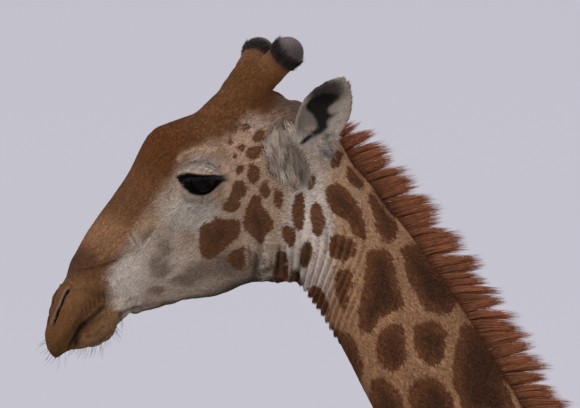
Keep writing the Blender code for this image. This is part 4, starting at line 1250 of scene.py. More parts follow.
def hide_material():
    """Short fur over skin: matt, finely streaked along the lie of the hair, with ragged edges to the patches.

    Bare rims are smoother, as skin without hair is."""
    m, tree, out = new_material("short_fur_hide")
    mark = add(tree, "ShaderNodeAttribute", {"attribute_name": "mark"}).outputs["Fac"]
    bare = add(tree, "ShaderNodeAttribute", {"attribute_name": "bare"}).outputs["Fac"]
    grain = add(tree, "ShaderNodeAttribute", {"attribute_name": "grain"}).outputs["Vector"]
    ground = add(tree, "ShaderNodeAttribute", {"attribute_name": "ground_tone"}).outputs["Color"]
    patch = add(tree, "ShaderNodeAttribute", {"attribute_name": "patch_tone"}).outputs["Color"]
    place = add(tree, "ShaderNodeTexCoord").outputs["Object"]
    # Hair streaks 3 mm across and six times as long: real hairs are finer than the picture can show.
    streak = add(tree, "ShaderNodeTexNoise", Vector=grain, Scale=330.0, Detail=3.0,
        Roughness=0.6).outputs["Fac"]
    fleck = add(tree, "ShaderNodeTexNoise", Vector=place, Scale=60.0, Detail=4.0,
        Roughness=0.6).outputs["Fac"]
    jagged = add(tree, "ShaderNodeMath", {"operation": "MULTIPLY_ADD"}, _0=streak, _1=0.009,
        _2=-0.0045).outputs[0]
    edge = add(tree, "ShaderNodeMath", {"operation": "ADD"}, _0=mark, _1=jagged).outputs[0]
    share = add(tree, "ShaderNodeMapRange", {"interpolation_type": "SMOOTHSTEP"}, Value=edge,
        From_Min=-0.0026, From_Max=0.0034).outputs[0]
    colour = add(tree, "ShaderNodeMix", {"data_type": "RGBA"}, _0=share, _6=ground, _7=patch).outputs[2]
    light = add(tree, "ShaderNodeMapRange", Value=streak, From_Min=0.30, From_Max=0.70, To_Min=0.86,
        To_Max=1.10).outputs[0]
    blotch = add(tree, "ShaderNodeMapRange", Value=fleck, From_Min=0.30, From_Max=0.70, To_Min=0.90,
        To_Max=1.08).outputs[0]
    both = add(tree, "ShaderNodeMath", {"operation": "MULTIPLY"}, _0=light, _1=blotch).outputs[0]
    shaded = add(tree, "ShaderNodeMix", {"data_type": "RGBA", "blend_type": "MULTIPLY"}, _0=1.0, _6=colour,
        _7=both).outputs[2]
    height = add(tree, "ShaderNodeMath", {"operation": "MULTIPLY_ADD"}, _0=fleck, _1=0.5,
        _2=streak).outputs[0]
    bump = add(tree, "ShaderNodeBump", Height=height, Strength=0.35, Distance=0.0009).outputs[0]
    rough = add(tree, "ShaderNodeMapRange", Value=bare, To_Min=0.82, To_Max=0.62).outputs[0]
    gloss = add(tree, "ShaderNodeMapRange", Value=bare, To_Min=0.12, To_Max=0.04).outputs[0]
    skin = add(tree, "ShaderNodeBsdfPrincipled", Base_Color=shaded, Roughness=rough, Normal=bump,
        Specular_IOR_Level=gloss)
    tree.links.new(skin.outputs[0], out.inputs[0])
    return m


def horn_material():
    """Skin over bone: short worn fur on the shaft, finely creased, and a bald, dry, horny knob."""
    m, tree, out = new_material("worn_horn_skin")
    ground = add(tree, "ShaderNodeAttribute", {"attribute_name": "ground_tone"}).outputs["Color"]
    bare = add(tree, "ShaderNodeAttribute", {"attribute_name": "bare"}).outputs["Fac"]
    place = add(tree, "ShaderNodeTexCoord").outputs["Object"]
    crease = add(tree, "ShaderNodeTexNoise", Vector=place, Scale=150.0, Detail=5.0, Roughness=0.65,
        Distortion=0.8).outputs["Fac"]
    pits = add(tree, "ShaderNodeTexVoronoi", Vector=place, Scale=260.0).outputs["Distance"]
    light = add(tree, "ShaderNodeMapRange", Value=crease, From_Min=0.32, From_Max=0.68, To_Min=0.70,
        To_Max=1.18).outputs[0]
    colour = add(tree, "ShaderNodeMix", {"data_type": "RGBA", "blend_type": "MULTIPLY"}, _0=1.0, _6=ground,
        _7=light).outputs[2]
    height = add(tree, "ShaderNodeMath", {"operation": "MULTIPLY_ADD"}, _0=pits, _1=0.4, _2=crease).outputs[0]
    bump = add(tree, "ShaderNodeBump", Height=height, Strength=0.6, Distance=0.002).outputs[0]
    rough = add(tree, "ShaderNodeMapRange", Value=bare, To_Min=0.80, To_Max=0.58).outputs[0]
    skin = add(tree, "ShaderNodeBsdfPrincipled", Base_Color=colour, Roughness=rough, Normal=bump,
        Specular_IOR_Level=0.35)
    tree.links.new(skin.outputs[0], out.inputs[0])
    return m


# Coat and hair.

def outward(co, faces, per):
    """Turns the faces round if the first shape that they make is inside out.

    per is how many points each shape has."""
    first = [f[(f < per).all(1)] for f in faces]
    volume = sum((co[f[:, 0]] * np.cross(co[f[:, i]], co[f[:, i + 1]])).sum()
                 for f in first for i in range(1, f.shape[1] - 1))
    return faces if volume > 0 else [f[:, ::-1] for f in faces]


def unwrap(p):
    """Where each place lies on a flat unwrap of the skin, in strips for head, neck, trunk and each leg."""
    h = to_head(p)
    head = head_share(p) > 0.5
    at, off, _ = along_line(p[:, 1:], NECK_LINE)
    turn = lambda a, b: np.arctan2(a, b) / (2 * math.pi) + 0.5
    u = np.where(head, (h[:, 0] + 0.20) / 0.90, at / 2.6)
    v = np.where(head, turn(h[:, 2], h[:, 1] - 0.05), turn(p[:, 0], off))
    low, leg = ~head & (p[:, 2] < TRUNK_TOP), ~head & (p[:, 2] < LEG_TOP)
    u[low], v[low] = (p[low, 1] + 0.5) / 2.3, turn(p[low, 0], p[low, 2] - 2.35)
    fore = p[:, 1] < 0.8
    side = np.where(p[:, 0] > 0, 0.195, -0.195)
    which = fore * 1 + (p[:, 0] > 0) * 2
    middle = np.where(fore, 0.08, 1.35)
    u[leg], v[leg] = p[leg, 2] / 1.8, ((which + turn(p[:, 0] - side, p[:, 1] - middle)) / 4)[leg]
    return np.stack([np.clip(u, 0, 1) * 0.94 + 0.03, np.clip(v, 0, 1) * 0.94 + 0.03], 1)


def tufts(name, p, normal, way, length, width, rise, tint):
    """Short locks of fur as closed slips: root in the skin, widest a third of the way, and a fine tip."""
    side = np.cross(way, normal)
    length, width, rise = length[:, None], width[:, None], rise[:, None]
    middle = p + way * length * 0.33 + normal * (rise * 0.62 + 0.0002)
    root, tip = p - normal * 0.0010, p + way * length + normal * rise
    rows = [root, middle + side * width / 2, middle - side * width / 2, tip]
    co = np.stack(rows, 1).reshape(-1, 3)
    start = np.arange(len(p))[:, None, None] * 4
    faces = np.array([(0, 2, 1), (0, 1, 3), (0, 3, 2), (1, 2, 3)])
    faces = outward(co, [(faces[None] + start).reshape(-1, 3)], 4)
    shift = np.array([(-.0012, 0), (0, .0012), (0, -.0012), (.0012, 0)])
    uv = (unwrap(p)[:, None] + shift).reshape(-1, 2)
    along = np.tile((0.0, 0.35, 0.35, 1.0), len(p))
    return new_piece(name, co, faces, {"along": along, "hair_tone": np.repeat(tint, 4, 0)}, uv)


def strands(name, root, tip, bow, width, rings, tint, uv=None):
    """Long hairs as closed three-sided tapers that bow between root and tip."""
    way = unit(tip - root)
    side = unit(np.cross(way, np.where(np.abs(way[:, :1]) > 0.9, (0.0, 0.0, 1.0), (1.0, 0.0, 0.0))))
    other = np.cross(way, side)
    t = np.linspace(0, 1, rings + 1)
    rows = []
    for i in range(rings):
        middle = root + (tip - root) * t[i] + bow * (4 * t[i] * (1 - t[i]))
        r = width[:, None] / 2 * (0.75 + 0.9 * t[i]) * (1 - t[i]) ** 0.8
        for a in (0.5, 2.6, 4.7):
            rows.append(middle + (side * math.cos(a) + other * math.sin(a)) * r)
    rows.append(tip)
    per = rings * 3 + 1
    co = np.stack(rows, 1).reshape(-1, 3)
    sides = ((0, 1), (1, 2), (2, 0))
    quads = [(3 * i + a, 3 * i + b, 3 * i + 3 + b, 3 * i + 3 + a)
             for i in range(rings - 1) for a, b in sides]
    last = 3 * rings - 3
    tris = [(0, 2, 1)] + [(last + a, last + b, per - 1) for a, b in sides]
    start = np.arange(len(root))[:, None, None] * per
    faces = [(np.array(q)[None] + start).reshape(-1, len(q[0])) for q in (quads, tris)]
    faces = outward(co, faces, per)
    along = np.tile(np.append(np.repeat(t[:-1], 3), 1.0), len(root))
    place = unwrap(root) if uv is None else uv
    shift = np.stack([(along[:per] - 0.5) * 0.0026, np.append(np.tile((-.001, 0, .001), rings), 0)], 1)
    uv = (place[:, None] + shift).reshape(-1, 2)
    return new_piece(name, co, faces, {"along": along, "hair_tone": np.repeat(tint, per, 0)}, uv)


def hair_material(name, dark, light, roughness, specular):
    """Hair in its own tone: darker at the root, where hairs shade each other, than at the tip."""
    m, tree, out = new_material(name)
    tone = add(tree, "ShaderNodeAttribute", {"attribute_name": "hair_tone"}).outputs["Color"]
    along = add(tree, "ShaderNodeAttribute", {"attribute_name": "along"}).outputs["Fac"]
    place = add(tree, "ShaderNodeTexCoord").outputs["Object"]
    fleck = add(tree, "ShaderNodeTexNoise", Vector=place, Scale=90.0, Detail=2.0).outputs["Fac"]
    light = add(tree, "ShaderNodeMapRange", Value=along, To_Min=dark, To_Max=light).outputs[0]
    uneven = add(tree, "ShaderNodeMapRange", Value=fleck, From_Min=0.3, From_Max=0.7, To_Min=0.86,
        To_Max=1.12).outputs[0]
    both = add(tree, "ShaderNodeMath", {"operation": "MULTIPLY"}, _0=light, _1=uneven).outputs[0]
    colour = add(tree, "ShaderNodeMix", {"data_type": "RGBA", "blend_type": "MULTIPLY"}, _0=1.0, _6=tone,
        _7=both).outputs[2]
    hair = add(tree, "ShaderNodeBsdfPrincipled", Base_Color=colour, Roughness=roughness,
        Specular_IOR_Level=specular)
    tree.links.new(hair.outputs[0], out.inputs[0])
    return m


def mixed(values, k, shares):
    """Values of the skin's points at places on its triangles."""
    picked = values[flesh["tris"][k]]
    return (picked * shares).sum(1) if values.ndim == 1 else (picked * shares[:, :, None]).sum(1)


def fur_length(p):
    """Length of the short coat: 5 mm on the lips, 8 on the face, 12 to 25 down the neck and 25 on the trunk.

    Down the legs it falls to 10, and it is 16 round the hooves."""
    h = to_head(p)
    head = head_share(p)
    at, _, _ = along_line(p[:, 1:], NECK_LINE)
    face = np.interp(h[:, 0], [-0.1, 0.1, 0.3, 0.48, 0.60], [0.0105, 0.0095, 0.0080, 0.0068, 0.0050])
    neck = np.interp(at, [0.1, 0.7, 1.4, 2.2], [0.0115, 0.0140, 0.0190, 0.0250])
    leg = np.interp(p[:, 2], [0.10, 0.20, 0.5, 1.2, 1.9], [0.016, 0.0095, 0.0115, 0.0165, 0.0235])
    body = np.where(p[:, 2] < TRUNK_TOP, 0.025, neck)
    body = body * (1 - legs_share(p)) + leg * legs_share(p)
    face = face * (1 - 0.45 * ear_share(h))
    return np.where(is_tail(p), 0.014, body * (1 - head) + face * head)


class GiraffeCoatSettings(bpy.types.PropertyGroup):
    head_tufts: IntProperty(name="Tufts on the head",
        description="How many tufts each of the head's two coat pieces has", default=44000)
    neck_tufts: IntProperty(name="Tufts on the upper neck", description="How many tufts the upper neck has",
        default=46000)
    body_tufts: IntProperty(name="Tufts on the rest",
        description="How many tufts each of the other three coat pieces has", default=34000)
    rise: FloatProperty(name="Rise", description="How far the tips stand off, as a share of the length",
        default=0.08, subtype="FACTOR")
    slender: FloatProperty(name="Slenderness", description="Length of a tuft against its width", default=8.0)


class GIRAFFE_OT_coat(bpy.types.Operator):
    """Short fur in tufts over the whole skin and the horns' shafts, in the colours of the skin under each"""
    bl_idname = "giraffe.coat"
    bl_label = "Coat"

    def execute(self, context):
        s = context.scene.giraffe_coat
        rng = np.random.default_rng(5)
        co, tris = flesh["co"], flesh["tris"]
        middle = co[tris].mean(1)
        h = to_head(middle)
        head = head_share(middle) > 0.5
        at, _, _ = along_line(middle[:, 1:], NECK_LINE)
        z = middle[:, 2]
        leg, trunk = ~head & (z < LEG_TOP), ~head & (z >= LEG_TOP) & (z < TRUNK_TOP)
        upper = ~head & (z >= TRUNK_TOP) & (at < 0.80)
        lower = ~head & (z >= TRUNK_TOP) & ~upper
        length = fur_length(middle)
        bare = flesh["bare"][tris].max(1)
        margin = flesh["margin"][tris].min(1)
        wish = (bare < 0.35) * (margin > 0.006) / length ** 2
        short = hair_material("short_coat_hair", 0.96, 1.07, 0.85, 0.15)
        parts = (("coat_head_left", head & (h[:, 2] > 0), s.head_tufts),
                 ("coat_head_right", head & (h[:, 2] <= 0), s.head_tufts),
                 ("coat_neck_upper", upper, s.neck_tufts),
                 ("coat_neck_lower", lower, s.body_tufts),
                 ("coat_trunk", trunk, s.body_tufts),
                 ("coat_legs", leg, s.body_tufts))
        for name, part, count in parts:
            p, _, k, shares = scatter(co, tris, wish * part, count, rng)
            normal = unit(mixed(flesh["normal"], k, shares))
            way = lie_of(p, normal)
            turn = rng.normal(0, 0.14, count)[:, None]
            way = unit(way + np.cross(normal, way) * turn)
            long = fur_length(p) * rng.uniform(0.75, 1.15, count)
            root = p + way * (long * 0.5)[:, None] if "head" in name or "upper" in name else p
            mark = marks_of(root)[0] if root is not p else mixed(flesh["mark"], k, shares)
            dark = mark + rng.uniform(-0.0032, 0.0032, count) > 0.0002
            patch, ground = (mixed(flesh[n], k, shares) for n in ("patch", "ground"))
            tint = np.where(dark[:, None], patch, ground)
            tint = tint * (1 + rng.normal(0, 0.04, count))[:, None]
            rise = long * s.rise * rng.uniform(0.5, 1.3, count)
            o = tufts(name, p, normal, way, long, long / s.slender + 0.0003, rise, np.clip(tint, 0, 1))
            o.data.materials.append(short)
            keep_piece(o, "hide")
        return {"FINISHED"}


class GiraffeManeSettings(bpy.types.PropertyGroup):
    hairs: IntProperty(name="Hairs", description="How many strands each half of the mane has", default=11000)
    lock: FloatProperty(name="Lock", description="Length of nape whose hairs come together to one point",
        default=0.0165, unit="LENGTH")
    root: StringProperty(name="Colour", description="Colour of the mane's hair, as sRGB hex",
        default="BC7A54")
    brush: StringProperty(name="Brush colour", description="Colour of the tail's brush, as sRGB hex",
        default="2A1F1B")


class GIRAFFE_OT_mane(bpy.types.Operator):
    """Upright mane along the nape, in pointed locks, in an upper and a lower piece"""
    bl_idname = "giraffe.mane"
    bl_label = "Mane"

    def execute(self, context):
        s = context.scene.giraffe_mane
        rng = np.random.default_rng(3)
        line = MANE_ROWS[:, :2]
        step = np.concatenate([[0], np.cumsum(np.hypot(*np.diff(line, axis=0).T))])
        total = step[-1]
        coarse = hair_material("mane_hair", 0.50, 1.22, 0.70, 0.2)
        half = 0.50 * total
        for name, low, high in (("mane_upper", 0.0, half), ("mane_lower", half, total)):
            n = s.hairs
            place = rng.uniform(low, high, n)
            across = rng.uniform(-1, 1, n)
            lock = np.floor(place / s.lock + 0.5 * (across > 0)).astype(int)
            seed = np.random.default_rng(17).uniform(-1, 1, (400, 4))[lock]
            home = (lock + 0.5 - 0.5 * (across > 0)) * s.lock
            row = lambda at: np.stack([np.interp(at, step, MANE_ROWS[:, c]) for c in range(5)], 1)
            own, heart = row(place), row(np.clip(home + seed[:, 0] * s.lock * 0.9, 0, total))
            stand = heart[:, 2:4]
            size = np.hypot(*stand.T)
            stand = stand / size[:, None]
            lean = seed[:, 1] * 0.09 + rng.normal(0, 0.03, n)
            stand = np.stack([stand[:, 0] - stand[:, 1] * lean, stand[:, 1] + stand[:, 0] * lean], 1)
            size = size * (0.90 + 0.13 * seed[:, 2]) * rng.uniform(0.5, 1.0, n) ** 0.5
            spread = rng.uniform(0.02, 1.0, n) ** 1.4
            size = size * (1.12 - 0.42 * spread)
            root = np.stack([across * own[:, 4] * 0.9, own[:, 0], own[:, 1]], 1)
            root[:, 1:] -= unit(own[:, 2:4]) * 0.012
            reach = stand * size[:, None]
            far = heart[:, :2] + reach
            tip = np.stack([across * own[:, 4] * 0.35, far[:, 0], far[:, 1]], 1)
            tip[:, 1:] += (own[:, :2] - heart[:, :2]) * spread[:, None]
            bow = np.zeros((n, 3))
            bow[:, 2] = size * (0.045 + 0.02 * seed[:, 3])
            bow[:, 0] = np.sign(across) * size * 0.02
            tint = plain(s.root, n) * (1 + 0.10 * seed[:, 3] + rng.normal(0, 0.14, n))[:, None]
            width = rng.uniform(0.0011, 0.0020, n) * np.clip(size / 0.08, 0.5, 1)
            uv = np.stack([0.03 + 0.94 * (place - low) / half, 0.5 + across * 0.3], 1)
            o = strands(name, root, tip, bow, width, 3, np.clip(tint, 0, 1), uv)
            o.data.materials.append(coarse)
            keep_piece(o, "mane_hair", *(["mane"] if low == 0 else []))
        return {"FINISHED"}


class GIRAFFE_OT_brush(bpy.types.Operator):
    """Long dark brush at the end of the tail"""
    bl_idname = "giraffe.brush"
    bl_label = "Tail brush"

    def execute(self, context):
        rng = np.random.default_rng(8)
        n = 3000
        row = lambda z: np.stack([np.interp(-z, -BRUSH_ROWS[:, 1], BRUSH_ROWS[:, c]) for c in (0, 2)], 1)
        high = rng.uniform(1.20, 1.56, n)
        low = np.maximum(high - rng.uniform(0.35, 0.72, n), 0.862)
        turn, share = rng.uniform(0, 2 * math.pi, n), rng.uniform(0.1, 1.0, n) ** 0.6
        out = np.stack([np.cos(turn), np.sin(turn), np.zeros(n)], 1)
        ring = lambda z: np.stack([np.zeros(n), row(z)[:, 0], z], 1)
        root = ring(high) + out * (row(high)[:, 1] * share * 0.75)[:, None]
        tip = ring(low) + out * (row(low)[:, 1] * share * 0.85)[:, None]
        tip[:, 2] = low
        bow = out * (share * 0.010)[:, None]
        tint = plain(context.scene.giraffe_mane.brush, n) * (1 + rng.normal(0, 0.25, n))[:, None]
        uv = np.stack([turn / 7 + 0.05, (high - 0.8) / 0.8], 1)
        width = rng.uniform(0.0022, 0.0036, n)
        o = strands("tail_brush_hair", root, tip, bow, width, 6, np.clip(tint, 0, 1), uv)
        o.data.materials.append(hair_material("tail_hair", 0.8, 1.15, 0.50, 0.4))
        keep_piece(o, "tail_hair", "tail_brush")
        return {"FINISHED"}


class GIRAFFE_OT_fringes(bpy.types.Operator):
    """Hair of the ears, lashes, whiskers and the rims of the horns' knobs"""
    bl_idname = "giraffe.fringes"
    bl_label = "Ear hair, lashes and whiskers"

    def execute(self, context):
        self.rng = np.random.default_rng(21)
        co, tris, normal = flesh["co"], flesh["tris"], flesh["normal"]
        middle = co[tris].mean(1)
        h = to_head(middle)
        head = head_share(middle) > 0.5
        near = drawn_plane(middle)
        pale = hair_material("pale_ear_hair", 0.70, 1.12, 0.85, 0.08)
        dark = hair_material("dark_hair", 0.8, 1.1, 0.55, 0.35)
        ear = flesh["ear"][tris].mean(1) > 0.4
        e, across, _ = ear_coordinates(h)
        faces_out = facing_share(unit(normal[tris].mean(1)), h)

        # Long pale hair before and below the ear, and along its front rim.
        root = smooth(-0.010, 0.014, inside(near, EAR_ROOT)) * ~ear * (h[:, 2] ** 2 > 0.003)
        self.fringe("ear_root_hair", root, 3400, (0.024, 0.046), 0.0010, (0.05, 0.10, -0.98), 0.16, "F1DDC9",
            pale, 3, 70)
        rim = ear & (across < -0.016) & (faces_out > -0.20) & (e < 0.34) & (e > 0.05)
        self.fringe("ear_rim_hair", rim, 1500, (0.010, 0.020), 0.0008, (0.30, 0.90, -0.25), 0.16, "C9BFB2",
            pale, 3, 90)
        t, r = horn_coordinates(h)
        ring = head & (t > 0.84) & (t < 1.02) & (r < 0.060) & (h[:, 1] > 0.17)
        self.fringe("knob_fringe", ring, 2600, (0.008, 0.015), 0.0010, None, 0.28, "352821", dark, 2)
        chin = head & (h[:, 0] > 0.50) & (h[:, 1] < 0.030)
        self.fringe("whiskers", chin, 150, (0.018, 0.040), 0.0007, (0.0, -0.5, -0.7), 1.6, "2B2019", dark, 3)
        self.lashes(dark)
        return {"FINISHED"}

    def fringe(self, name, where, count, lengths, width, way, lift, code, material, rings, locks=0):
        """Strands from the chosen faces, lying one way or as the coat does, loose or in locks."""
        rng = self.rng
        p, _, k, shares = scatter(flesh["co"], flesh["tris"], where * 1.0, count, rng)
        normal = unit(mixed(flesh["normal"], k, shares))
        lie = lie_of(p, normal)
        if way is not None:
            lie = np.tile(way, (count, 1)) * 1.0
            lie[:, 0] *= np.where(to_head(p)[:, 2] < 0, -1, 1)
            lie = unit(lie - normal * (lie * normal).sum(1, keepdims=True))
        lie = unit(lie + normal * lift + rng.normal(0, 0.16, (count, 3)))
        long = rng.uniform(*lengths, count)
        tint = plain(code, count) * (1 + rng.normal(0, 0.12, count))[:, None]
        bow = normal * (long * 0.10)[:, None]
        tip = p + lie * long[:, None]
        if locks:
            hearts = p[:locks]
            own = (((p[:, None] - hearts[None]) * (1, 1, 0.45)) ** 2).sum(2).argmin(1)
            drawn = (hearts[own] - p) * rng.uniform(0.4, 0.95, (count, 1))
            tip += drawn + rng.normal(0, 0.12, (locks, 3))[own] * long[:, None]
            tint = tint * np.clip(1 + rng.normal(-0.1, 0.30, locks), 0.35, 1.2)[own][:, None]
        o = strands(name, p - normal * 0.001, tip, bow, np.full(count, width), rings, np.clip(tint, 0, 1))
        o.data.materials.append(material)
        keep_piece(o, "hide")

    def lashes(self, material):
        """Black lashes along the upper lids, which bow out and down."""
        rng = self.rng
        n = 150
        roots, tips, bows = [], [], []
        for name, sign in zip(EYES, (1, -1)):
            slit, out, up = eye_axes(sign)
            a = rng.uniform(-60, 62, n)
            top = eye_top(a) + rng.uniform(-2, 3, n)
            a, b = np.radians(a), np.radians(top)
            level = np.cos(a)[:, None] * out + np.sin(a)[:, None] * slit
            u = np.cos(b)[:, None] * level + np.sin(b)[:, None] * up
            long = rng.uniform(0.014, 0.024, n)[:, None]
            spread = slit * (np.sin(a)[:, None] * 0.5 + 0.12)
            way = unit(u * 0.8 + spread - up * 0.50 + rng.normal(0, 0.08, (n, 3)))
            roots.append(EYE_PLACES[name] + u * (EYE_RADIUS + 0.0035))
            tips.append(roots[-1] + way * long)
            bows.append(out * long * 0.14 - up * long * 0.04)
        root, width = np.vstack(roots), np.full(2 * n, 0.0011)
        o = strands("eyelashes", root, np.vstack(tips), np.vstack(bows), width, 4, plain("17120F", 2 * n))
        o.data.materials.append(material)
        keep_piece(o, "hide")


class GIRAFFE_OT_eyes(bpy.types.Operator):
    """Dark wet eyeballs with a raised cornea, a level pupil and a brown iris"""
    bl_idname = "giraffe.eyes"
    bl_label = "Eyes"

    def execute(self, context):
        for name, sign in zip(EYES, (1, -1)):
            deselect()
            bpy.ops.mesh.primitive_uv_sphere_add(segments=96, ring_count=64, radius=EYE_RADIUS - 0.0003)
            o = bpy.context.object
            o.name = name.replace("eye", "eyeball")
            slit, out, _ = eye_axes(sign)
            co = points_of(o)
            turn = np.stack([slit, np.cross(out, slit), out], 1)
            u = unit(co)
            polar = np.degrees(np.arccos(np.clip(u[:, 2], -1, 1)))
            r = np.linalg.norm(co, axis=1) + 0.0022 * smooth(34, 12, polar)
            co = (u * r[:, None]) @ turn.T + EYE_PLACES[name]
            put_points(o, co)
            pupil = smooth(1.1, 0.9, np.hypot(u[:, 0] / 0.30, u[:, 1] / 0.17))
            iris = smooth(36, 31, polar)
            tone = tinted(plain("0B0806", len(co)), "0E0805", iris)
            tone = tinted(tone, "030303", iris * pupil)
            store(o, "eye_tone", tone)
            bpy.ops.object.shade_smooth()
            pick(o)
            o.data.materials.append(eye_material())
            keep_piece(o, "eye", name)
        return {"FINISHED"}


def eye_material():
    """Wet cornea over a brown-black iris: near black with sharp small highlights."""
    m = bpy.data.materials.get("wet_eye")
    if m:
        return m
    m, tree, out = new_material("wet_eye")
    tone = add(tree, "ShaderNodeAttribute", {"attribute_name": "eye_tone"}).outputs["Color"]
    place = add(tree, "ShaderNodeTexCoord").outputs["Object"]
    fibre = add(tree, "ShaderNodeTexNoise", Vector=place, Scale=420.0, Detail=2.0).outputs["Fac"]
    light = add(tree, "ShaderNodeMapRange", Value=fibre, To_Min=0.7, To_Max=1.3).outputs[0]
    colour = add(tree, "ShaderNodeMix", {"data_type": "RGBA", "blend_type": "MULTIPLY"}, _0=1.0, _6=tone,
        _7=light).outputs[2]
    ball = add(tree, "ShaderNodeBsdfPrincipled", Base_Color=colour, Roughness=0.10, IOR=1.376,
        Specular_IOR_Level=0.10)
    tree.links.new(ball.outputs[0], out.inputs[0])
    return m


def eye_axes(sign):
    """Along the slit, out of the head and up, at one eye."""
    slit = HEAD @ np.array((math.cos(math.radians(31)), math.sin(math.radians(31)), 0.0))
    out = HEAD @ unit(np.array((0.10, 0.02, 1.0)) * (1, 1, sign))
    slit = unit(slit - out * (slit @ out))
    return slit, out, np.cross(slit, out) * sign


def corner_line(a):
    """Height of the line through the eye's corners at places along the slit, all in degrees."""
    return CORNER_HEIGHT + CORNER_SLOPE * a


def eye_top(a):
    """Height of the upper lid's edge, in the same way."""
    return corner_line(a) + 9 * np.clip(1 - (a / LID_REACH) ** 2, 0, 1) ** 0.5


class GIRAFFE_OT_hooves(bpy.types.Operator):
    """Two-toed hooves with rounded edges and growth rings"""
    bl_idname = "giraffe.hooves"
    bl_label = "Hooves"

    def execute(self, context):
        horn = hoof_material()
        for name in HOOVES:
            o = copy_of([name], name.replace("hoof", "horny_hoof"))
            low = points_of(o)[:, 2].min()
            modify(o, "REMESH", mode="VOXEL", voxel_size=0.0026, use_smooth_shade=True)
            modify(o, "SMOOTH", factor=0.5, iterations=8)
            co = points_of(o)
            z = co[:, 2]
            ring = np.sin(z / 0.011 * 2 * math.pi + 1.5 * np.sin(co[:, 1] * 30))
            ring = ring * smooth(0.010, 0.03, z) * smooth(0.115, 0.09, z)
            co = co + normals_of(o) * (ring * 0.0006)[:, None]
            co[:, 2] = np.maximum(co[:, 2], low)
            put_points(o, co)
            modify(o, "DECIMATE", ratio=0.22)
            bpy.ops.object.shade_smooth()
            o.data.materials.append(horn)
            keep_piece(o, "hoof", name)
        return {"FINISHED"}


def hoof_material():
    """Hoof horn: dark grey-brown, dull, ringed every centimetre and scuffed paler towards the ground."""
    m, tree, out = new_material("hoof_horn")
    place = add(tree, "ShaderNodeTexCoord").outputs["Object"]
    flat = add(tree, "ShaderNodeMapping", Vector=place, Scale=(12.0, 12.0, 90.0)).outputs[0]
    rings = add(tree, "ShaderNodeTexNoise", Vector=flat, Scale=1.0, Detail=4.0).outputs["Fac"]
    tall = add(tree, "ShaderNodeMapping", Vector=place, Scale=(400.0, 400.0, 25.0)).outputs[0]
    fibres = add(tree, "ShaderNodeTexNoise", Vector=tall, Scale=1.0, Detail=3.0).outputs["Fac"]
    height = add(tree, "ShaderNodeSeparateXYZ", Vector=place).outputs[2]
    scuff = add(tree, "ShaderNodeMapRange", Value=height, From_Min=0.0, From_Max=0.05, To_Min=0.55,
        To_Max=0.0).outputs[0]
    ringed = add(tree, "ShaderNodeMix", {"data_type": "RGBA"}, _0=rings, _6=(*linear("2E2823"), 1),
        _7=(*linear("6B5F53"), 1)).outputs[2]
    worn = add(tree, "ShaderNodeMix", {"data_type": "RGBA"}, _0=scuff, _6=ringed,
        _7=(*linear("8A7C6C"), 1)).outputs[2]
    both = add(tree, "ShaderNodeMath", {"operation": "MULTIPLY_ADD"}, _0=fibres, _1=0.5, _2=rings).outputs[0]
    bump = add(tree, "ShaderNodeBump", Height=both, Strength=0.5, Distance=0.0015).outputs[0]
    horn = add(tree, "ShaderNodeBsdfPrincipled", Base_Color=worn, Roughness=0.55, Normal=bump,
        Specular_IOR_Level=0.4)
    tree.links.new(horn.outputs[0], out.inputs[0])
    return m


class GiraffeStageSettings(bpy.types.PropertyGroup):
    distance: FloatProperty(name="Camera distance",
        description="How far the camera stands from the middle plane", default=16.0, unit="LENGTH")
    lens: FloatProperty(name="Lens", description="Focal length in millimetres on a 36 mm sensor",
        default=470.0)
    tilt: FloatProperty(name="Tilt", description="How far the camera looks up", default=math.radians(2.0),
        subtype="ANGLE")
    sky: StringProperty(name="Sky", description="Colour of the light sky, as sRGB hex", default="BEBDC9")
    key: FloatProperty(name="Top light", description="Power of the soft light above, in watts", default=230.0)


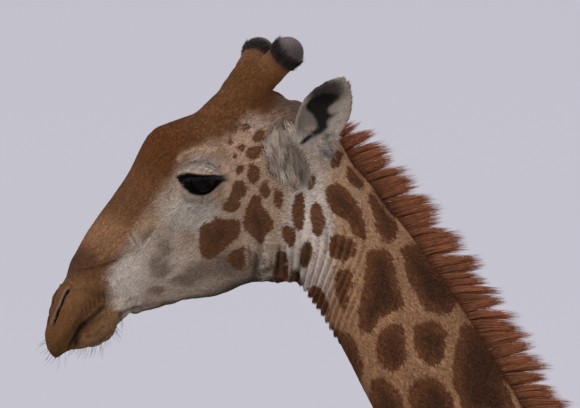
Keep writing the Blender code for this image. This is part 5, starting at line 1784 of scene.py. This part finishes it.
class GIRAFFE_OT_stage(bpy.types.Operator):
    """Pale floor, soft overcast light and the camera"""
    bl_idname = "giraffe.stage"
    bl_label = "Stage"

    def execute(self, context):
        s = context.scene.giraffe_stage
        deselect()
        bpy.ops.mesh.primitive_circle_add(vertices=96, radius=9.0, fill_type="NGON", location=(0, 0, 0))
        floor = bpy.context.object
        floor.name = "floor"
        m, tree, out = new_material("pale_floor")
        place = add(tree, "ShaderNodeTexCoord").outputs["Object"]
        grain = add(tree, "ShaderNodeTexNoise", Vector=place, Scale=3.0, Detail=3.0).outputs["Fac"]
        colour = add(tree, "ShaderNodeMix", {"data_type": "RGBA"}, _0=grain, _6=(*linear("C4C2C0"), 1),
            _7=(*linear("D2D0CE"), 1)).outputs[2]
        paint = add(tree, "ShaderNodeBsdfPrincipled", Base_Color=colour, Roughness=0.9)
        tree.links.new(paint.outputs[0], out.inputs[0])
        floor.data.materials.append(m)

        world = bpy.data.worlds.new("overcast")
        world.use_nodes = True
        tree = world.node_tree
        tree.nodes.clear()
        way = add(tree, "ShaderNodeTexCoord").outputs["Generated"]
        height = add(tree, "ShaderNodeSeparateXYZ", Vector=way).outputs[2]
        share = add(tree, "ShaderNodeMapRange", Value=height, From_Min=-0.10, From_Max=0.12).outputs[0]
        top = add(tree, "ShaderNodeMapRange", Value=height, From_Min=0.15, From_Max=0.9, To_Min=1.0,
            To_Max=1.25).outputs[0]
        colour = add(tree, "ShaderNodeMix", {"data_type": "RGBA"}, _0=share, _6=(*linear("CCCAD3"), 1),
            _7=(*linear(s.sky), 1)).outputs[2]
        light = add(tree, "ShaderNodeBackground", Color=colour, Strength=top)
        out = tree.nodes.new("ShaderNodeOutputWorld")
        tree.links.new(light.outputs[0], out.inputs[0])
        context.scene.world = world

        lights = (("top_light", (5.0, -3.5, 10.5), (0, -0.6, 3.9), 6.0, s.key),
                  ("side_light", (9.0, -6.0, 5.5), (0, -0.8, 4.0), 5.0, s.key * 0.35))
        for name, place, aim, size, power in lights:
            deselect()
            bpy.ops.object.light_add(type="AREA", location=place)
            lamp = bpy.context.object
            lamp.name = name
            lamp.data.size = size
            lamp.data.energy = power
            way = np.array(aim) - np.array(place)
            tilt = math.acos(-way[2] / np.linalg.norm(way))
            lamp.rotation_euler = (tilt, 0, math.atan2(way[1], way[0]) - math.pi / 2)

        deselect()
        y, z = (float(v) for v in PLANE_MIDDLE)
        bpy.ops.object.camera_add(location=(s.distance, y, z - s.distance * math.tan(s.tilt)),
                                  rotation=(math.pi / 2 + s.tilt, 0, math.pi / 2))
        camera = bpy.context.object
        camera.data.lens = s.lens
        camera.data.clip_end = 200
        context.scene.camera = camera
        context.scene.view_settings.view_transform = "Standard"
        return {"FINISHED"}


SETTINGS = {
    "giraffe_skin": GiraffeSkinSettings,
    "giraffe_coat": GiraffeCoatSettings,
    "giraffe_mane": GiraffeManeSettings,
    "giraffe_stage": GiraffeStageSettings,
}
OPERATORS = (GIRAFFE_OT_skin, GIRAFFE_OT_coat, GIRAFFE_OT_mane, GIRAFFE_OT_brush, GIRAFFE_OT_fringes,
             GIRAFFE_OT_eyes, GIRAFFE_OT_hooves, GIRAFFE_OT_stage)


class GIRAFFE_PT_panel(bpy.types.Panel):
    """Lists the giraffe's pieces and their settings"""
    bl_label = "Giraffe"
    bl_idname = "GIRAFFE_PT_panel"
    bl_space_type = "VIEW_3D"
    bl_region_type = "UI"
    bl_category = "Giraffe"

    def draw(self, context):
        for operator in OPERATORS:
            self.layout.operator(operator.bl_idname)
        for name, kind in SETTINGS.items():
            box = self.layout.box()
            for field in kind.__annotations__:
                box.prop(getattr(context.scene, name), field)


def register():
    for c in (*SETTINGS.values(), *OPERATORS, GIRAFFE_PT_panel):
        bpy.utils.register_class(c)
    for name, kind in SETTINGS.items():
        setattr(bpy.types.Scene, name, PointerProperty(type=kind))


def unregister():
    for name in SETTINGS:
        delattr(bpy.types.Scene, name)
    for c in reversed((*SETTINGS.values(), *OPERATORS, GIRAFFE_PT_panel)):
        bpy.utils.unregister_class(c)


def main():
    register()
    bpy.ops.giraffe.skin()
    bpy.ops.giraffe.coat()
    bpy.ops.giraffe.mane()
    bpy.ops.giraffe.brush()
    bpy.ops.giraffe.fringes()
    bpy.ops.giraffe.eyes()
    bpy.ops.giraffe.hooves()
    bpy.ops.giraffe.stage()
    deselect()


if __name__ == "__main__":
    main()
